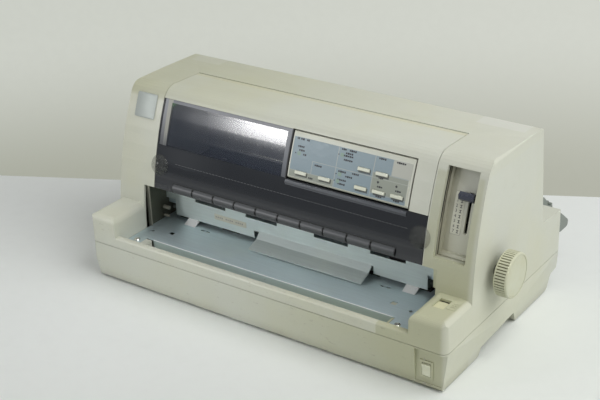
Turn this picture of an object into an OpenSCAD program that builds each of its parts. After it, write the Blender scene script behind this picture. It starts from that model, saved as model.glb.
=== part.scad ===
// Dot matrix printer with a hinged cover, a flat front paper path and a rear tractor unit.
// The model is drawn with x from the middle of the case, y from its front face and z from the table.

/* [Case] */
// Width of the case
body_w = 465; // [455:1:480]
// Depth of the case from its front face to its rear face
body_d = 263; // [260:1:270]
// Height of the roof above the table
body_h = 216; // [212:1:222]
// Height of the seam between the lower and the upper case
seam_z = 47; // [46.5:0.1:47.4]
// Wall of the moulded case parts
wall = 2.8; // [2.2:0.1:3]
// Radius of the upright corners
corner_r = 8; // [5:0.5:10]
// How far each side of the lower case draws in at its foot
foot_taper = 6; // [4:0.5:8]
// How far each side of the upper case draws in at its roof
side_draft = 3.9; // [2:0.1:5]
// Width of the groove along the seam
seam_groove = 0.6; // [0.4:0.1:0.8]
// Radius of the edge between the front face and the roof
brow_r = 20; // [16:1:24]
// Lean of the front face at the arms, in degrees
lean_foot = 5.5; // [4:0.5:7]
// Lean of the front face below the brow, in degrees
lean_top = 24; // [22:0.5:26]
// Where the roof ends at the rear
roof_end_y = 207; // [200:1:210]
// How far the roof falls towards the rear, in degrees
roof_fall = 1.84; // [1:0.1:3]
// How far the rear face of the tall part leans out at its foot
rear_lean = 6; // [3:0.5:8]
// Height of the rear step at its inner end
step_z = 100; // [98:0.5:104]
// Height of the rear step at its outer end
step_end_z = 97; // [94:0.5:98]
// Height of the rubber feet under the case
foot_gap = 2; // [1.5:0.1:3]
// Radius of a rubber foot
foot_r = 9; // [7:0.5:11]

/* [Arms and mouth] */
// Height of the arms
arm_top = 82; // [80:0.5:84]
// Length of the arms in front of the pillars
arm_d = 53; // [51:0.5:55]
// Width of the left arm
arm_l_w = 37.5; // [35:0.5:39]
// Width of the right arm
arm_r_w = 42.5; // [42:0.5:45]
// Radius of the arm edges
arm_r = 8; // [5:0.5:10]
// Depth of the front rim
rim_d = 8; // [7:0.5:10]
// Height of the front rim
rim_top = 59.5; // [57:0.5:62]
// Width of the left pillar
pillar_l_w = 52.5; // [50:0.5:54]
// Width of the right pillar
pillar_r_w = 59.5; // [58:0.5:61]
// Height of the lower edge of the cover opening
mouth_z = 104.5; // [103.5:0.5:108]
// How far the right pillar reaches past the inner face of its arm
pillar_r_foot = 4; // [3:0.5:5]
// Where the roof starts behind the cover
roof_start_y = 149.6; // [149:0.1:151]

/* [Cover] */
// Skin of the cover and the shield
skin_t = 2.5; // [2:0.1:2.8]
// Gap between the cover and the case
cover_gap = 0.8; // [0.5:0.1:1.2]
// How far below the roof the lid ends and the shield starts
lid_drop = 11; // [10:0.5:13]
// Width of the lid's stile at the right
stile_w = 23.5; // [20:0.5:26]
// How far below the roof the stile ends
stile_drop = 61; // [59:0.5:63]
// Radius of the hinge pins
hinge_pin_r = 1.5; // [1.2:0.1:1.8]
// Depth of the hinge axis under the roof
hinge_depth = 3.2; // [3:0.1:3.6]
// Distance of the hinge axis ahead of the roof
hinge_back = 4.1; // [4:0.1:5]
// Margin round the clear window at its left and right
window_side = 13; // [10:0.5:16]
// Width of the bar above the clear window
window_bar = 3.5; // [3:0.5:6]
// How far the clear window lies back in the shield
window_step = 0.3; // [0.2:0.05:0.5]
// Number of rounded segments along the lower edge
bead_count = 10; // [8:1:12]
// Length of one segment with its divider
bead_pitch = 29.4; // [28:0.1:30]
// Radius of a segment
bead_r = 5.2; // [4.8:0.1:5.6]
// Radius of a finger tab where it meets the cover
tab_r = 12; // [10:0.5:13]
// How far a finger tab stands out
tab_out = 7; // [5:0.5:8]
// Height of the finger tabs
tab_z = 131.5; // [128:0.5:136]

/* [Control panel] */
// Width of the control panel opening
panel_w = 149.5; // [147:0.5:152]
// Depth of the panel's housing
panel_depth = 14; // [12:0.5:16]
// Thickness of the printed overlay
overlay_t = 0.3; // [0.2:0.05:0.4]
// Width of a push button
button_w = 14; // [12:0.5:15]
// Height of a push button
button_h = 3.6; // [3:0.1:4.4]
// How far a push button stands out
button_out = 2; // [1.6:0.1:2.4]
// Gap round a push button
button_gap = 0.3; // [0.2:0.05:0.4]
// Travel of a push button
button_travel = 1.5; // [1:0.1:1.6]

/* [Thickness lever] */
// Distance of the recess from the inner edge of the right pillar
recess_in = 11; // [9:0.5:13]
// Width of the recess
recess_w = 35.5; // [33:0.5:36]
// Lower edge of the recess
recess_z0 = 116; // [114:0.5:119]
// How far below the roof the recess ends
recess_drop = 9.7; // [9:0.1:12]
// Depth of the recess
recess_d = 12; // [10:0.5:13]
// Distance of the lever pivot behind the recess floor
lever_l = 60; // [58:0.5:64]
// Depth of the step round the recess floor
recess_step = 7.8; // [7:0.1:8.5]
// Width of the step round the recess floor
recess_rim = 3.6; // [3:0.1:4]
// Swing of the lever, in degrees
lever_swing = 31; // [26:1:32]
// Thickness of the lever
lever_t = 2; // [1.6:0.1:2.4]

/* [Tray and guide] */
// Height of the tray's upper face
tray_z = 50; // [49.6:0.1:50.4]
// Sheet metal thickness of the tray and the guide
sheet_t = 1.2; // [1:0.1:1.4]
// Where the tray's turned-down front edge lies
tray_lip_y = 33; // [31:0.5:35]
// Left end of the trough, from the left inner face of the arm
trough_l_in = 27; // [25:0.5:29]
// Right end of the trough, from the right inner face of the arm
trough_r_in = 37; // [35:0.5:39]
// Where the guide plate stands
guide_y = 92; // [91:0.5:93]
// Height of the guide plate's tabs
guide_top = 82; // [81:0.5:85]
// Depth of the guide plate's notches
notch_d = 4; // [3:0.5:5]
// Paper gap under the guide plate
paper_gap = 4.4; // [4:0.1:5]
// Paper gap under the foot of the guide plate's ramp
ramp_gap = 0.9; // [0.6:0.1:1.2]

/* [Feed] */
// Radius of the paper feed knob
knob_r = 24.3; // [22:0.1:25]
// How far the knob reaches past the case
knob_out = 22.5; // [20:0.5:25]
// Gap between the knob and the case
knob_gap = 7.5; // [6.5:0.5:8.5]
// Number of grooves on the knob's rim
knob_grooves = 48; // [40:1:56]
// Distance of the knob's axis from the front face
knob_y = 103.5; // [102.5:0.5:104.5]
// Height of the knob's axis
knob_z = 94.3; // [94:0.1:94.6]
// Tooth module of the feed gears
gear_m = 1; // [1:0.01:1.01]
// Teeth of the knob gear
knob_teeth = 28; // [28:1:28]
// Teeth of the roller gears and of the gear under the knob
roller_teeth = 26; // [26:1:26]
// Teeth of the gear between the rollers
mid_teeth = 23; // [23:1:24]
// Teeth of the feed motor's pinion
pinion_teeth = 12; // [12:1:12]
// Width of the feed gears
gear_w = 6; // [5:0.5:6.5]
// Extra distance between meshed gears
mesh_gap = 0.1; // [0.08:0.01:0.15]
// Radius of a feed shaft
feed_shaft_r = 4; // [3.5:0.1:4.5]
// How far the feed rollers stand above the tray
roller_lift = 0.8; // [0.5:0.1:1]
// Radius of a pinch roller
pinch_r = 6; // [5.5:0.1:6.2]
// Radius of a pinch shaft
pinch_shaft_r = 2; // [1.8:0.1:2.4]
// Number of rollers along a feed shaft
roller_count = 6; // [5:1:7]
// Length of one roller sleeve
roller_l = 24; // [20:1:30]
// Radial running clearance of shafts in their bores
run_gap = 0.05; // [0.02:0.01:0.08]
// Paper gap between facing rollers
nip_gap = 0.35; // [0.3:0.05:0.5]
// Width of the platen bar
platen_w = 10; // [8:0.5:12]

/* [Carriage] */
// Radius of the carriage shaft
rod_r = 5; // [4.5:0.1:5.5]
// Distance of the carriage shaft from the front face
rod_y = 158; // [157:0.5:158.5]
// Height of the carriage shaft
rod_z = 84; // [83.5:0.5:85]
// Half the width of the carriage
carriage_hw = 28; // [26:0.5:30]
// Half the width of the ribbon cartridge
ribbon_hw = 45; // [42:0.5:50]
// Where the carriage is parked, from the right side plate
park_gap = 6; // [5:0.5:10]
// Travel of the carriage
carriage_travel = 275; // [260:5:280]
// Height of the pulley axes
pulley_z = 88; // [87.5:0.5:88.5]
// Running radius of a pulley
pulley_r = 7.3; // [7:0.1:7.5]
// Thickness of the toothed belt
belt_t = 1.4; // [1:0.1:1.6]
// Width of the toothed belt
belt_w = 6; // [5:0.5:6]
// Height of the rear rail
rear_rail_top = 150; // [140:1:155]

/* [Tractor] */
// How far the tractor unit reaches behind its drive shaft
tractor_back = 35; // [33:0.5:37]
// Height of the tractor's drive shaft
tractor_z = 70; // [69:0.5:71]
// Half the width of the square drive shaft
square_h = 3; // [2.6:0.1:3.4]
// How far the left tractor stands in from its end plate
tractor_l_in = 54.5; // [50:0.5:70]
// How far the right tractor stands in from its end plate
tractor_r_in = 6; // [5:0.5:8]

/* [Hidden] */
$fn = 48;

case_colour = [0.80, 0.79, 0.70];
lid_colour = [0.79, 0.78, 0.69];
smoke_colour = [0.16, 0.17, 0.20];
zinc_colour = [0.60, 0.67, 0.70];
steel_colour = [0.72, 0.73, 0.74];
dark_colour = [0.12, 0.12, 0.13];

// Places along z that follow the roof
lid_z = body_h - lid_drop;
stile_z = body_h - stile_drop;
window_z0 = stile_z;
window_z1 = lid_z - window_bar;
recess_z1 = body_h - recess_drop;
lever_mid_z = (recess_z0 + recess_z1) / 2 - 0.15;

// Places along x
case_l = -body_w / 2;
case_r = body_w / 2;
bay_l = case_l + arm_l_w;
bay_r = case_r - arm_r_w;
mouth_l = case_l + pillar_l_w;
mouth_r = case_r - pillar_r_w;
plate_t = 1.5;
mech_l = bay_l + 0.5;
mech_r = bay_r - pillar_r_foot + 1;
panel_r = mouth_r - stile_w;
panel_l = panel_r - panel_w;
gear_x = mech_r + plate_t + 2;
recess_l = mouth_r + recess_in;
recess_r = recess_l + recess_w;
lever_x = recess_r - 11;
far = 400;

// Front face and roof
arc_dz = body_h - brow_r + brow_r * sin(lean_top) - arm_top;
arc_r = arc_dz / (sin(lean_top) - sin(lean_foot));
arc_c = [arm_d + arc_r * cos(lean_foot), arm_top - arc_r * sin(lean_foot)];
arc_end = arc_c + arc_r * [-cos(lean_top), sin(lean_top)];
brow_c = arc_end + brow_r * [cos(lean_top), -sin(lean_top)];
function lean_at(z) = asin((z - arc_c[1]) / arc_r);
function face_y(z, off = 0) = arc_c[0] - sqrt(pow(arc_r - off, 2) - pow(z - arc_c[1], 2));
function roof_z(y) = brow_c[1] + (brow_r - (y - brow_c[0]) * sin(roof_fall)) / cos(roof_fall);

// Hinge of the cover
hinge_y = roof_start_y - hinge_back;
hinge_z = roof_z(hinge_y) - hinge_depth;
lid_end_y = roof_start_y - 2.1;
strip_swing_r = norm([hinge_y - face_y(stile_z, skin_t), hinge_z - stile_z]) - 0.5;

// Feed train, seen along x
gear_r = roller_teeth * gear_m / 2;
knob_gear_r = knob_teeth * gear_m / 2;
mid_gear_r = mid_teeth * gear_m / 2;
pinion_r = pinion_teeth * gear_m / 2;
idler_c = [knob_y, knob_z - knob_gear_r - gear_r - mesh_gap];
feed_c = idler_c - [0, 2 * gear_r + mesh_gap];
mid_c = feed_c + [gear_r + mid_gear_r + mesh_gap, 0];
rear_c = mid_c + [gear_r + mid_gear_r + mesh_gap, 0];
motor_dir = -28;
motor_c = rear_c + (gear_r + pinion_r + mesh_gap) * [cos(motor_dir), sin(motor_dir)];
roller_r = tray_z + roller_lift - feed_c[1];
pinch_z = tray_z + roller_lift + nip_gap + pinch_r;
feed_motor_r = 14;
motor_shaft_r = 2;
// Angle of one tooth of the next gear, given this gear's, so that teeth meet gaps
function mesh_phase(a, n1, dir, n2) = dir + 180 - (0.5 - (dir - a) * n1 / 360) * 360 / n2;
idler_phase = mesh_phase(0, roller_teeth, 90, roller_teeth);
knob_phase = mesh_phase(idler_phase, roller_teeth, 90, knob_teeth);
mid_phase = mesh_phase(0, roller_teeth, 0, mid_teeth);
rear_phase = mesh_phase(mid_phase, mid_teeth, 0, roller_teeth);
pinion_phase = mesh_phase(rear_phase, roller_teeth, motor_dir, pinion_teeth);

// Carriage
carriage_x = mech_r - park_gap - ribbon_hw;
shoe_z = tray_z + 21.5;
rail_z = shoe_z - 0.3;
deck_z = shoe_z + 1.5;
deck_t = 4;
head_y = mid_c[0];
belt_y = rod_y + rod_r + 5.7;
belt_in_r = pulley_r + 0.3;
rear_rail_y = belt_y + belt_w + 1.3;
pulley_l_x = mech_l + 24.5;
pulley_r_x = mech_r - 17;

// Connectors in the rear face
inlet_x = mech_r - 34.5;
port_x = mech_l + 117.5;

// Boards and posts behind the feed train
board_y0 = rear_c[0] + 19.3;
board_y1 = body_d - 25;
supply_r = mech_r - 9;
supply_l = supply_r - 100;
board_l = mech_l + 76.5;
board_r = supply_l - 20;
function board_x(share) = board_l + share * (board_r - board_l);
function board_y(share) = board_y0 + share * (board_y1 - board_y0);
foot_x = case_r - 42.5;
foot_y = [40, body_d - 58];
posts = [[mech_l + 42, 86], [mech_r - 42, 86], [mech_l + 34, board_y(0.8)],
  [(board_r + supply_l) / 2, board_y(0.8)]];

// Tray
trough_l = bay_l + trough_l_in;
trough_r = bay_r - trough_r_in;
pocket_w = 8;
screw_l = [bay_l + 11.4, 23.7];
screw_r = [bay_r - 24.9, 21.3];
post_top = tray_z - sheet_t;

// Front edge of the side plates, behind the pillars' wall
plate_y0 = face_y(mouth_z) + wall + 1;

// Lever
lever_face = [face_y(lever_mid_z, recess_d), lever_mid_z];
lever_lean = lean_at(lever_mid_z);
lever_c = lever_face + lever_l * [cos(lever_lean), -sin(lever_lean)];
lever_pin_r = 3;

// Slider in the right arm
slider_x0 = bay_r + 11.5;
slider_w = 12.8;
slider_y0 = 25.4;
slider_len = 18.4;
slider_grip = 13;
fit_gap = 0.3;

// Power switch
switch_x0 = case_r - 36;
switch_c = [switch_x0 + 12.5, 7, 22.4];
switch_w = 15;
switch_h = 20.6;
rocker_tilt = 6.5;

// Tractor unit
tractor_l_x = mech_l + tractor_l_in;
tractor_r_x = mech_r + 25 - tractor_r_in;
wheel_r = 9;
rod2_r = 3;
rod2_y = body_d + 7;
tractor_y = rod2_y + wheel_r + rod2_r + 2;
rod2_z = tractor_z - 5;
rear_reach = tractor_y + tractor_back;
lid_pivot = [tractor_y + 8, tractor_z + 13.5];

function unit(v) = v / norm(v);
function left_of(v) = [-v[1], v[0]];
function turn(v, a) = [v[0] * cos(a) - v[1] * sin(a), v[0] * sin(a) + v[1] * cos(a)];
function flat2(v) = [v[0], v[1]];
// Points of a rounded corner at v, coming in along d
function fillet(v, d, r, bend) =
  let (side = bend > 0 ? 1 : -1, n = max(2, ceil(abs(bend) / (r > 100 ? 3 : 13))),
       c = v - r * tan(abs(bend) / 2) * d + side * r * left_of(d))
  [for (k = [0 : n]) c - side * r * turn(left_of(d), bend * k / n)];
// Outline from corners [x, y, radius], anticlockwise, moved inwards by off
function outline(corners, off = 0) =
  let (n = len(corners))
  [for (i = [0 : n - 1])
    let (b = flat2(corners[i]), d1 = unit(b - flat2(corners[(i + n - 1) % n])),
         d2 = unit(flat2(corners[(i + 1) % n]) - b), n1 = left_of(d1), n2 = left_of(d2),
         bend = atan2(d1[0] * d2[1] - d1[1] * d2[0], d1 * d2),
         v = b + off * (n1 + n2) / (1 + n1 * n2),
         r = corners[i][2] == 0 ? 0 : corners[i][2] - (bend > 0 ? 1 : -1) * off)
    each (r < 0.05 ? [v] : fillet(v, d1, r, bend))];
function meet(p, d, q, e) =
  p + d * ((q[0] - p[0]) * e[1] - (q[1] - p[1]) * e[0]) / (d[0] * e[1] - d[1] * e[0]);

module along_x(x0, x1) {
  translate([x0, 0, 0]) rotate([90, 0, 90]) linear_extrude(x1 - x0) children();
}
module along_y(y0, y1) {
  translate([0, y1, 0]) rotate([90, 0, 0]) linear_extrude(y1 - y0) children();
}
module along_z(z0, z1) {
  translate([0, 0, z0]) linear_extrude(z1 - z0) children();
}
module box(x, y, z) {
  translate([x[0], y[0], z[0]]) cube([x[1] - x[0], y[1] - y[0], z[1] - z[0]]);
}
module rod_x(c, r, x0, x1) {
  translate([x0, c[0], c[1]]) rotate([0, 90, 0]) cylinder(r = r, h = x1 - x0);
}
module rod_y(x, z, r, y0, y1) {
  translate([x, y0, z]) rotate([-90, 0, 0]) cylinder(r = r, h = y1 - y0);
}
module rod_z(x, y, r, z0, z1) {
  translate([x, y, z0]) cylinder(r = r, h = z1 - z0);
}
module place() {
  translate([-knob_out / 2, -rear_reach / 2, 0]) children();
}
// A frame on the front face: y points into the case, z runs up the face
module on_face(x, z) {
  translate([x, face_y(z), z]) rotate([-lean_at(z), 0, 0]) children();
}

// Shapes of the case
function plan() = [[case_l, 0, corner_r], [case_r, 0, corner_r], [case_r, body_d, corner_r],
  [case_l, body_d, corner_r]];
function tall_side(z0) =
  let (zs = z0 + 6, a0 = lean_at(zs), d0 = [sin(a0), cos(a0)],
       p0 = [face_y(zs) - 6 * tan(a0), z0],
       d1 = [sin(lean_top), cos(lean_top)], roof_d = [cos(roof_fall), -sin(roof_fall)],
       roof_p = brow_c + brow_r * [sin(roof_fall), cos(roof_fall)],
       elbow = meet(p0, d0, arc_end, d1), brow = meet(arc_end, d1, roof_p, roof_d))
  [[p0[0], z0, 0], [body_d, z0, 0], [body_d, step_end_z, 6],
   [roof_end_y + rear_lean, step_z, 4], [roof_end_y, roof_z(roof_end_y), 6],
   [brow[0], brow[1], brow_r], [elbow[0], elbow[1], arc_r]];
function arm_side(z0, off) = [[0, z0, 0], [arm_d + 3 + 2 * off, z0, 0],
  [arm_d + 3 + 2 * off, arm_top, 0], [0, arm_top, arm_r]];
module tall(off, z0) {
  along_x(case_l + off, case_r - off) polygon(outline(tall_side(z0), off));
}
// Skin between two depths under the outer face, between two heights, ahead of y1
module face_skin(x0, x1, o0, o1, z0, z1, y1 = lid_end_y) {
  along_x(x0, x1) intersection() {
    difference() {
      polygon(outline(tall_side(seam_z - 20), o0));
      polygon(outline(tall_side(seam_z - 20), o1));
    }
    translate([20, z0]) square([y1 - 20, z1 - z0]);
  }
}
module upper_solid(off, z0) {
  intersection() {
    union() {
      tall(off, z0);
      intersection() {
        along_x(case_l - 1, case_r + 1) polygon(outline(arm_side(z0, off), off));
        along_y(-1, far) {
          polygon(outline([[case_l, z0, 0], [bay_l, z0, 0], [bay_l, arm_top, arm_r],
            [case_l, arm_top, arm_r]], off));
          polygon(outline([[bay_r, z0, 0], [case_r, z0, 0], [case_r, arm_top, arm_r],
            [bay_r, arm_top, arm_r]], off));
        }
      }
    }
    along_y(-1, far) polygon(outline([[case_l, z0, 0], [case_r, z0, 0],
      [case_r - side_draft, body_h, 4], [case_l + side_draft, body_h, 4]], off));
    along_z(z0 - 1, far) polygon(outline(plan(), off));
  }
}
module lower_solid(off, z1) {
  intersection() {
    along_x(case_l - 1, case_r + 1) polygon(outline([[foot_taper * 0.7, foot_gap, 3],
      [80, foot_gap, 2], [84, foot_gap + 10, 2], [157, foot_gap + 14, 2], [165, foot_gap, 2],
      [body_d - 20, foot_gap, 3], [body_d - 16, 21, 2], [body_d, 23, 3], [body_d, z1, 0],
      [-(z1 - seam_z) * 0.09, z1, 0]], off));
    along_y(-20, far) polygon(outline([[case_l + foot_taper, 0, 0], [case_r - foot_taper, 0, 0],
      [case_r + foot_taper * (z1 / seam_z - 1), z1, 0],
      [case_l - foot_taper * (z1 / seam_z - 1), z1, 0]], off));
    along_z(-1, z1 + 1) polygon(outline(plan(), off));
  }
}

module bottom_case() {
  color(case_colour) place() difference() {
    union() {
      difference() {
        lower_solid(0, seam_z);
        lower_solid(wall, seam_z + 8);
      }
      intersection() {
        lower_solid(1, seam_z);
        union() {
          // Posts under the tray and seats of the side plates
          for (p = concat([screw_l, screw_r], posts))
            rod_z(p[0], p[1], 4, foot_gap + 1, post_top - 2);
          for (x = [mech_l - 5, mech_r - 3]) {
            box([x, x + 8], [100, 150], [foot_gap + 11, 20]);
            box([x, x + 8], [motor_c[0] + 10.5, 200], [foot_gap + 1, 20]);
          }
          // Stand-offs of the boards
          for (x = [board_l + 6, board_r - 6, supply_l + 6, supply_r - 6],
              y = [board_y0 + 6, board_y1 - 6])
            rod_z(x, y, 3, foot_gap + 1, 12);
        }
      }
      for (p = concat([screw_l, screw_r], posts))
        rod_z(p[0], p[1], 4, foot_gap + 14, post_top);
      // Switch panel behind the front right corner
      intersection() {
        lower_solid(0, seam_z);
        box([switch_x0 - wall, case_r], [0, switch_c[1] + 0.2], [4, seam_z]);
      }
    }
    box([switch_x0, case_r + 1], [-1, switch_c[1] - 2.6], [6.8, seam_z - 2]);
    box([switch_c[0] - 6, switch_c[0] + 6], [-1, switch_c[1] + 9],
      [switch_c[2] - 8.4, switch_c[2] + 8.4]);
    for (p = [screw_l, screw_r]) rod_z(p[0], p[1], 1.6, post_top - 12, post_top + 1);
    for (x = [-foot_x, foot_x], y = foot_y) rod_z(x, y, foot_r + 0.2, -1, foot_gap + 1.5);
    // Air slots under the power supply
    for (k = [0 : 8]) box([supply_l + k * 11, supply_l + 6 + k * 11],
      [board_y(0.5), board_y(0.85)], [-1, 6]);
    // Rear connectors
    box([inlet_x - 13.9, inlet_x + 13.9], [body_d - 23, far], [24.8, 45.2]);
    box([port_x - 35.4, port_x + 35.4], [body_d - 23, far], [27.6, 41.4]);
  }
}

module top_case() {
  color(case_colour) place() difference() {
    union() {
      difference() {
        upper_solid(0, seam_z);
        difference() {
          upper_solid(wall, seam_z - 8);
          mouth_walls();
        }
        // Cover opening, bay between the arms and paper slot at the rear
        box([mouth_l, mouth_r], [-1, roof_start_y], [mouth_z, far]);
        box([bay_l, bay_r], [rim_d, arm_d + 3], [seam_z - 9, mouth_z]);
        box([bay_l, bay_r - pillar_r_foot], [rim_d, 120], [seam_z - 9, mouth_z]);
        box([mouth_l, mouth_r], [200, far], [seam_z + 1, seam_z + 18]);
      }
      front_rim();
      trough();
      lip_under_roof();
      recess_box();
      slider_track();
    }
    // Groove along the seam
    difference() {
      box([case_l - 1, case_r + 1], [-1, body_d + 1], [seam_z - 1, seam_z + seam_groove]);
      along_z(seam_z - 30, seam_z + 1) polygon(outline(plan(), 0.8));
    }
    recess_cut();
    box([slider_x0, slider_x0 + slider_w], [slider_y0, slider_y0 + slider_len],
      [arm_top - wall - 1, arm_top + 1]);
    rod_x([knob_y, knob_z], feed_shaft_r + 2, case_r - 12, case_r + 1);
    rod_x([hinge_y, hinge_z], hinge_pin_r + run_gap, mouth_l - wall - 1, mouth_l + 1);
    rod_x([hinge_y, hinge_z], hinge_pin_r + run_gap, mouth_r - 1, mouth_r + wall + 1);
  }
}
// Inner walls beside the cover opening, kept when the case is hollowed
module mouth_walls() {
  for (x = [mouth_l - wall, mouth_r]) {
    box([x, x + wall], [40, 85], [mouth_z, far]);
    // Raised behind the front, so the ribbon cartridge passes below
    box([x, x + wall], [84, roof_start_y + 10], [mouth_z + 9.5, far]);
  }
  face_band(bay_l - wall, mouth_l, 0, 10, mouth_z, mouth_z + wall);
  face_band(mouth_r, bay_r, 0, 10, mouth_z, mouth_z + wall);
}
module front_rim() {
  difference() {
    along_x(bay_l - wall, bay_r + wall) polygon(outline([[0, seam_z, 0], [rim_d, seam_z, 0],
      [rim_d, rim_top, 1.5], [0, rim_top, 2.5]]));
    along_x(bay_l, bay_r) polygon([[wall, seam_z - 1], [rim_d - 2.2, seam_z - 1],
      [rim_d - 2.2, rim_top - wall], [wall, rim_top - wall]]);
  }
}
// Trough in front of the tray, with a pocket wall at each end
module trough() {
  z0 = seam_z - 11;
  difference() {
    union() {
      box([trough_l - 2, trough_r + 2], [rim_d - 2.2, tray_lip_y + 4], [z0, z0 + 2]);
      box([trough_l - 2, trough_r + 2], [rim_d - 2.2, rim_d], [z0, seam_z]);
      box([trough_l - pocket_w, trough_l], [rim_d - 2.2, tray_lip_y - 2], [z0, tray_z]);
      box([trough_r, trough_r + 2], [rim_d - 2.2, tray_lip_y - 2], [z0, tray_z]);
    }
    box([trough_l - pocket_w + 2, trough_l - 2], [rim_d + 2, tray_lip_y - 4], [z0 - 1, tray_z - 2]);
  }
}
module lip_under_roof() {
  z1 = roof_z(roof_start_y) - 1;
  box([mouth_l - 1, mouth_r + 1], [roof_start_y, roof_start_y + 2.4], [z1 - 10, z1]);
}
// Slab that follows the front face between two depths and two heights
module face_band(x0, x1, o0, o1, z0, z1) {
  n = 6;
  along_x(x0, x1) polygon(concat(
    [for (k = [0 : n]) let (z = z0 + (z1 - z0) * k / n) [face_y(z, o1), z]],
    [for (k = [n : -1 : 0]) let (z = z0 + (z1 - z0) * k / n) [face_y(z, o0), z]]));
}
module recess_box() {
  face_band(recess_l - wall, recess_r + wall, wall / 2, recess_d + wall, recess_z0 - wall,
    min(recess_z1 + wall, arc_end[1]));
}
module recess_cut() {
  // Opening, stepped floor behind it, and the joint round the left and the foot of the floor
  face_band(recess_l, recess_r, -2, recess_step, recess_z0, recess_z1);
  face_band(recess_l + recess_rim, recess_r, recess_step - 1, recess_d,
    recess_z0 + recess_rim + 0.6, recess_z1);
  face_band(recess_l, recess_l + 1.3, recess_step - 1, recess_step + 3, recess_z0, recess_z1);
  face_band(recess_l, recess_r, recess_step - 1, recess_step + 1.4, recess_z0, recess_z0 + 0.9);
  // Slot for the lever
  slot_half = lever_l * sin(lever_swing / 2) + 4;
  face_band(lever_x - 0.8, lever_x + lever_t + 0.8, recess_d - 1, recess_d + wall + 1,
    lever_mid_z - slot_half, lever_mid_z + slot_half);
}
module slider_track() {
  z1 = arm_top - wall;
  x0 = slider_x0 - 2.2;
  x1 = slider_x0 + slider_w + 2.2;
  difference() {
    box([x0 - 1.6, x1 + 1.6], [slider_y0 - 7.4, slider_y0 + slider_len + 6], [z1 - 6.6, z1 + 0.5]);
    box([x0, x1], [0, 80], [z1 - 5, z1]);
  }
}

module rubber_feet() {
  color(dark_colour) place() for (x = [-foot_x, foot_x], y = foot_y)
    translate([x, y, 0]) rotate_extrude() polygon([[0, 0], [foot_r - 1, 0], [foot_r, 1],
      [foot_r, foot_gap + 1.5], [0, foot_gap + 1.5]]);
}

module tray_plate() {
  t0 = tray_z - sheet_t;
  rear_end = body_d - 5;
  color(zinc_colour) place() difference() {
    union() {
      box([bay_l + 0.5, bay_r - 0.5], [tray_lip_y, arm_d + 3], [t0, tray_z]);
      box([mech_l, mech_r], [arm_d + 2, 200], [t0, tray_z]);
      box([mouth_l + 2, mouth_r - 2], [199, rear_end], [t0, tray_z]);
      box([bay_l + 0.5, trough_l - pocket_w - 0.5], [rim_d + 0.5, tray_lip_y + 1], [t0, tray_z]);
      box([trough_r + 2.5, bay_r - 0.5], [rim_d + 0.5, tray_lip_y + 1], [t0, tray_z]);
      box([trough_l + 0.5, trough_r - 0.5], [tray_lip_y, tray_lip_y + sheet_t],
        [tray_z - 11.5, tray_z]);
    }
    for (p = [screw_l, screw_r, [bay_l + 11.4, 51.6], [bay_r - 27.5, 52.2]])
      rod_z(p[0], p[1], 1.9, t0 - 1, tray_z + 1);
    // Punched squares and slots
    box([bay_l + 32, bay_l + 38.4], [54.5, 60.7], [t0 - 1, tray_z + 1]);
    box([bay_r - 54, bay_r - 47], [54, 60.6], [t0 - 1, tray_z + 1]);
    for (x = [bay_l + 59, bay_l + 66.5, bay_r - 82, bay_r - 74.5]) {
      box([x, x + 5], [80.5, 83], [t0 - 1, tray_z + 1]);
    }
    // Windows of the rollers and the platen bar
    for (c = [feed_c, rear_c], x = roller_places())
      box([x - roller_l / 2 - 1.5, x + roller_l / 2 + 1.5], [c[0] - 6.5, c[0] + 6.5],
        [t0 - 1, tray_z + 1]);
    box([mech_l + 5.7, mech_r - 5.7], [head_y - platen_w / 2 - 0.3, head_y + platen_w / 2 + 0.3],
      [t0 - 1, tray_z + 1]);
  }
}
function roller_places() =
  let (a = mech_l + 26, b = mech_r - 40)
  [for (k = [0 : roller_count - 1]) a + (b - a) * k / (roller_count - 1)];

module guide_plate() {
  z0 = tray_z + paper_gap;
  step_z = z0 + 17.5;
  ramp_l = mech_l + 135.8;
  ramp_r = mech_r - 96;
  notch_z = guide_top - notch_d;
  slit_w = 7.3;
  slit_top = z0 + 9.2;
  color(zinc_colour) place() {
    difference() {
      along_y(guide_y, guide_y + sheet_t) polygon([[mech_l + 13.5, z0], [mech_r - 27.6, z0],
        [mech_r - 27.6, step_z], [mech_r, step_z], [mech_r, guide_top], [mech_l, guide_top],
        [mech_l, step_z + 2], [mech_l + 13.5, step_z + 2]]);
      for (n = [[43.8, 44.1], [117, 43.8], [210.7, 44.3], [283.5, 43.9]])
        box([mech_l + n[0], mech_l + n[0] + n[1]], [guide_y - 1, guide_y + 3], [notch_z, far]);
      box([ramp_l - slit_w, ramp_r + 1.9], [guide_y - 1, guide_y + 3], [z0 - 1, slit_top]);
    }
    // Ramp down to the tray
    along_x(ramp_l, ramp_r) polygon([[guide_y + sheet_t, slit_top + 1], [guide_y, slit_top + 1],
      [guide_y - 6.7, slit_top - 5.5], [guide_y - 22.4, tray_z + ramp_gap + sheet_t],
      [guide_y - 22.1, tray_z + ramp_gap], [guide_y - 6, slit_top - 6.7],
      [guide_y + sheet_t, slit_top - 0.3]]);
  }
}

module paper_pads() {
  // Flaps that slope from the guide plate's lower edge down to the tray
  z0 = tray_z + paper_gap;
  color("white") place() for (x = [mech_l + 32.5, mech_r - 53])
    along_x(x, x + 15.5) polygon([[guide_y - 9.4, tray_z], [guide_y - 8, tray_z],
      [guide_y + 3, z0 - 0.7], [guide_y + 3, z0 - 0.1], [guide_y - 0.3, z0 - 0.1]]);
}

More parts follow.
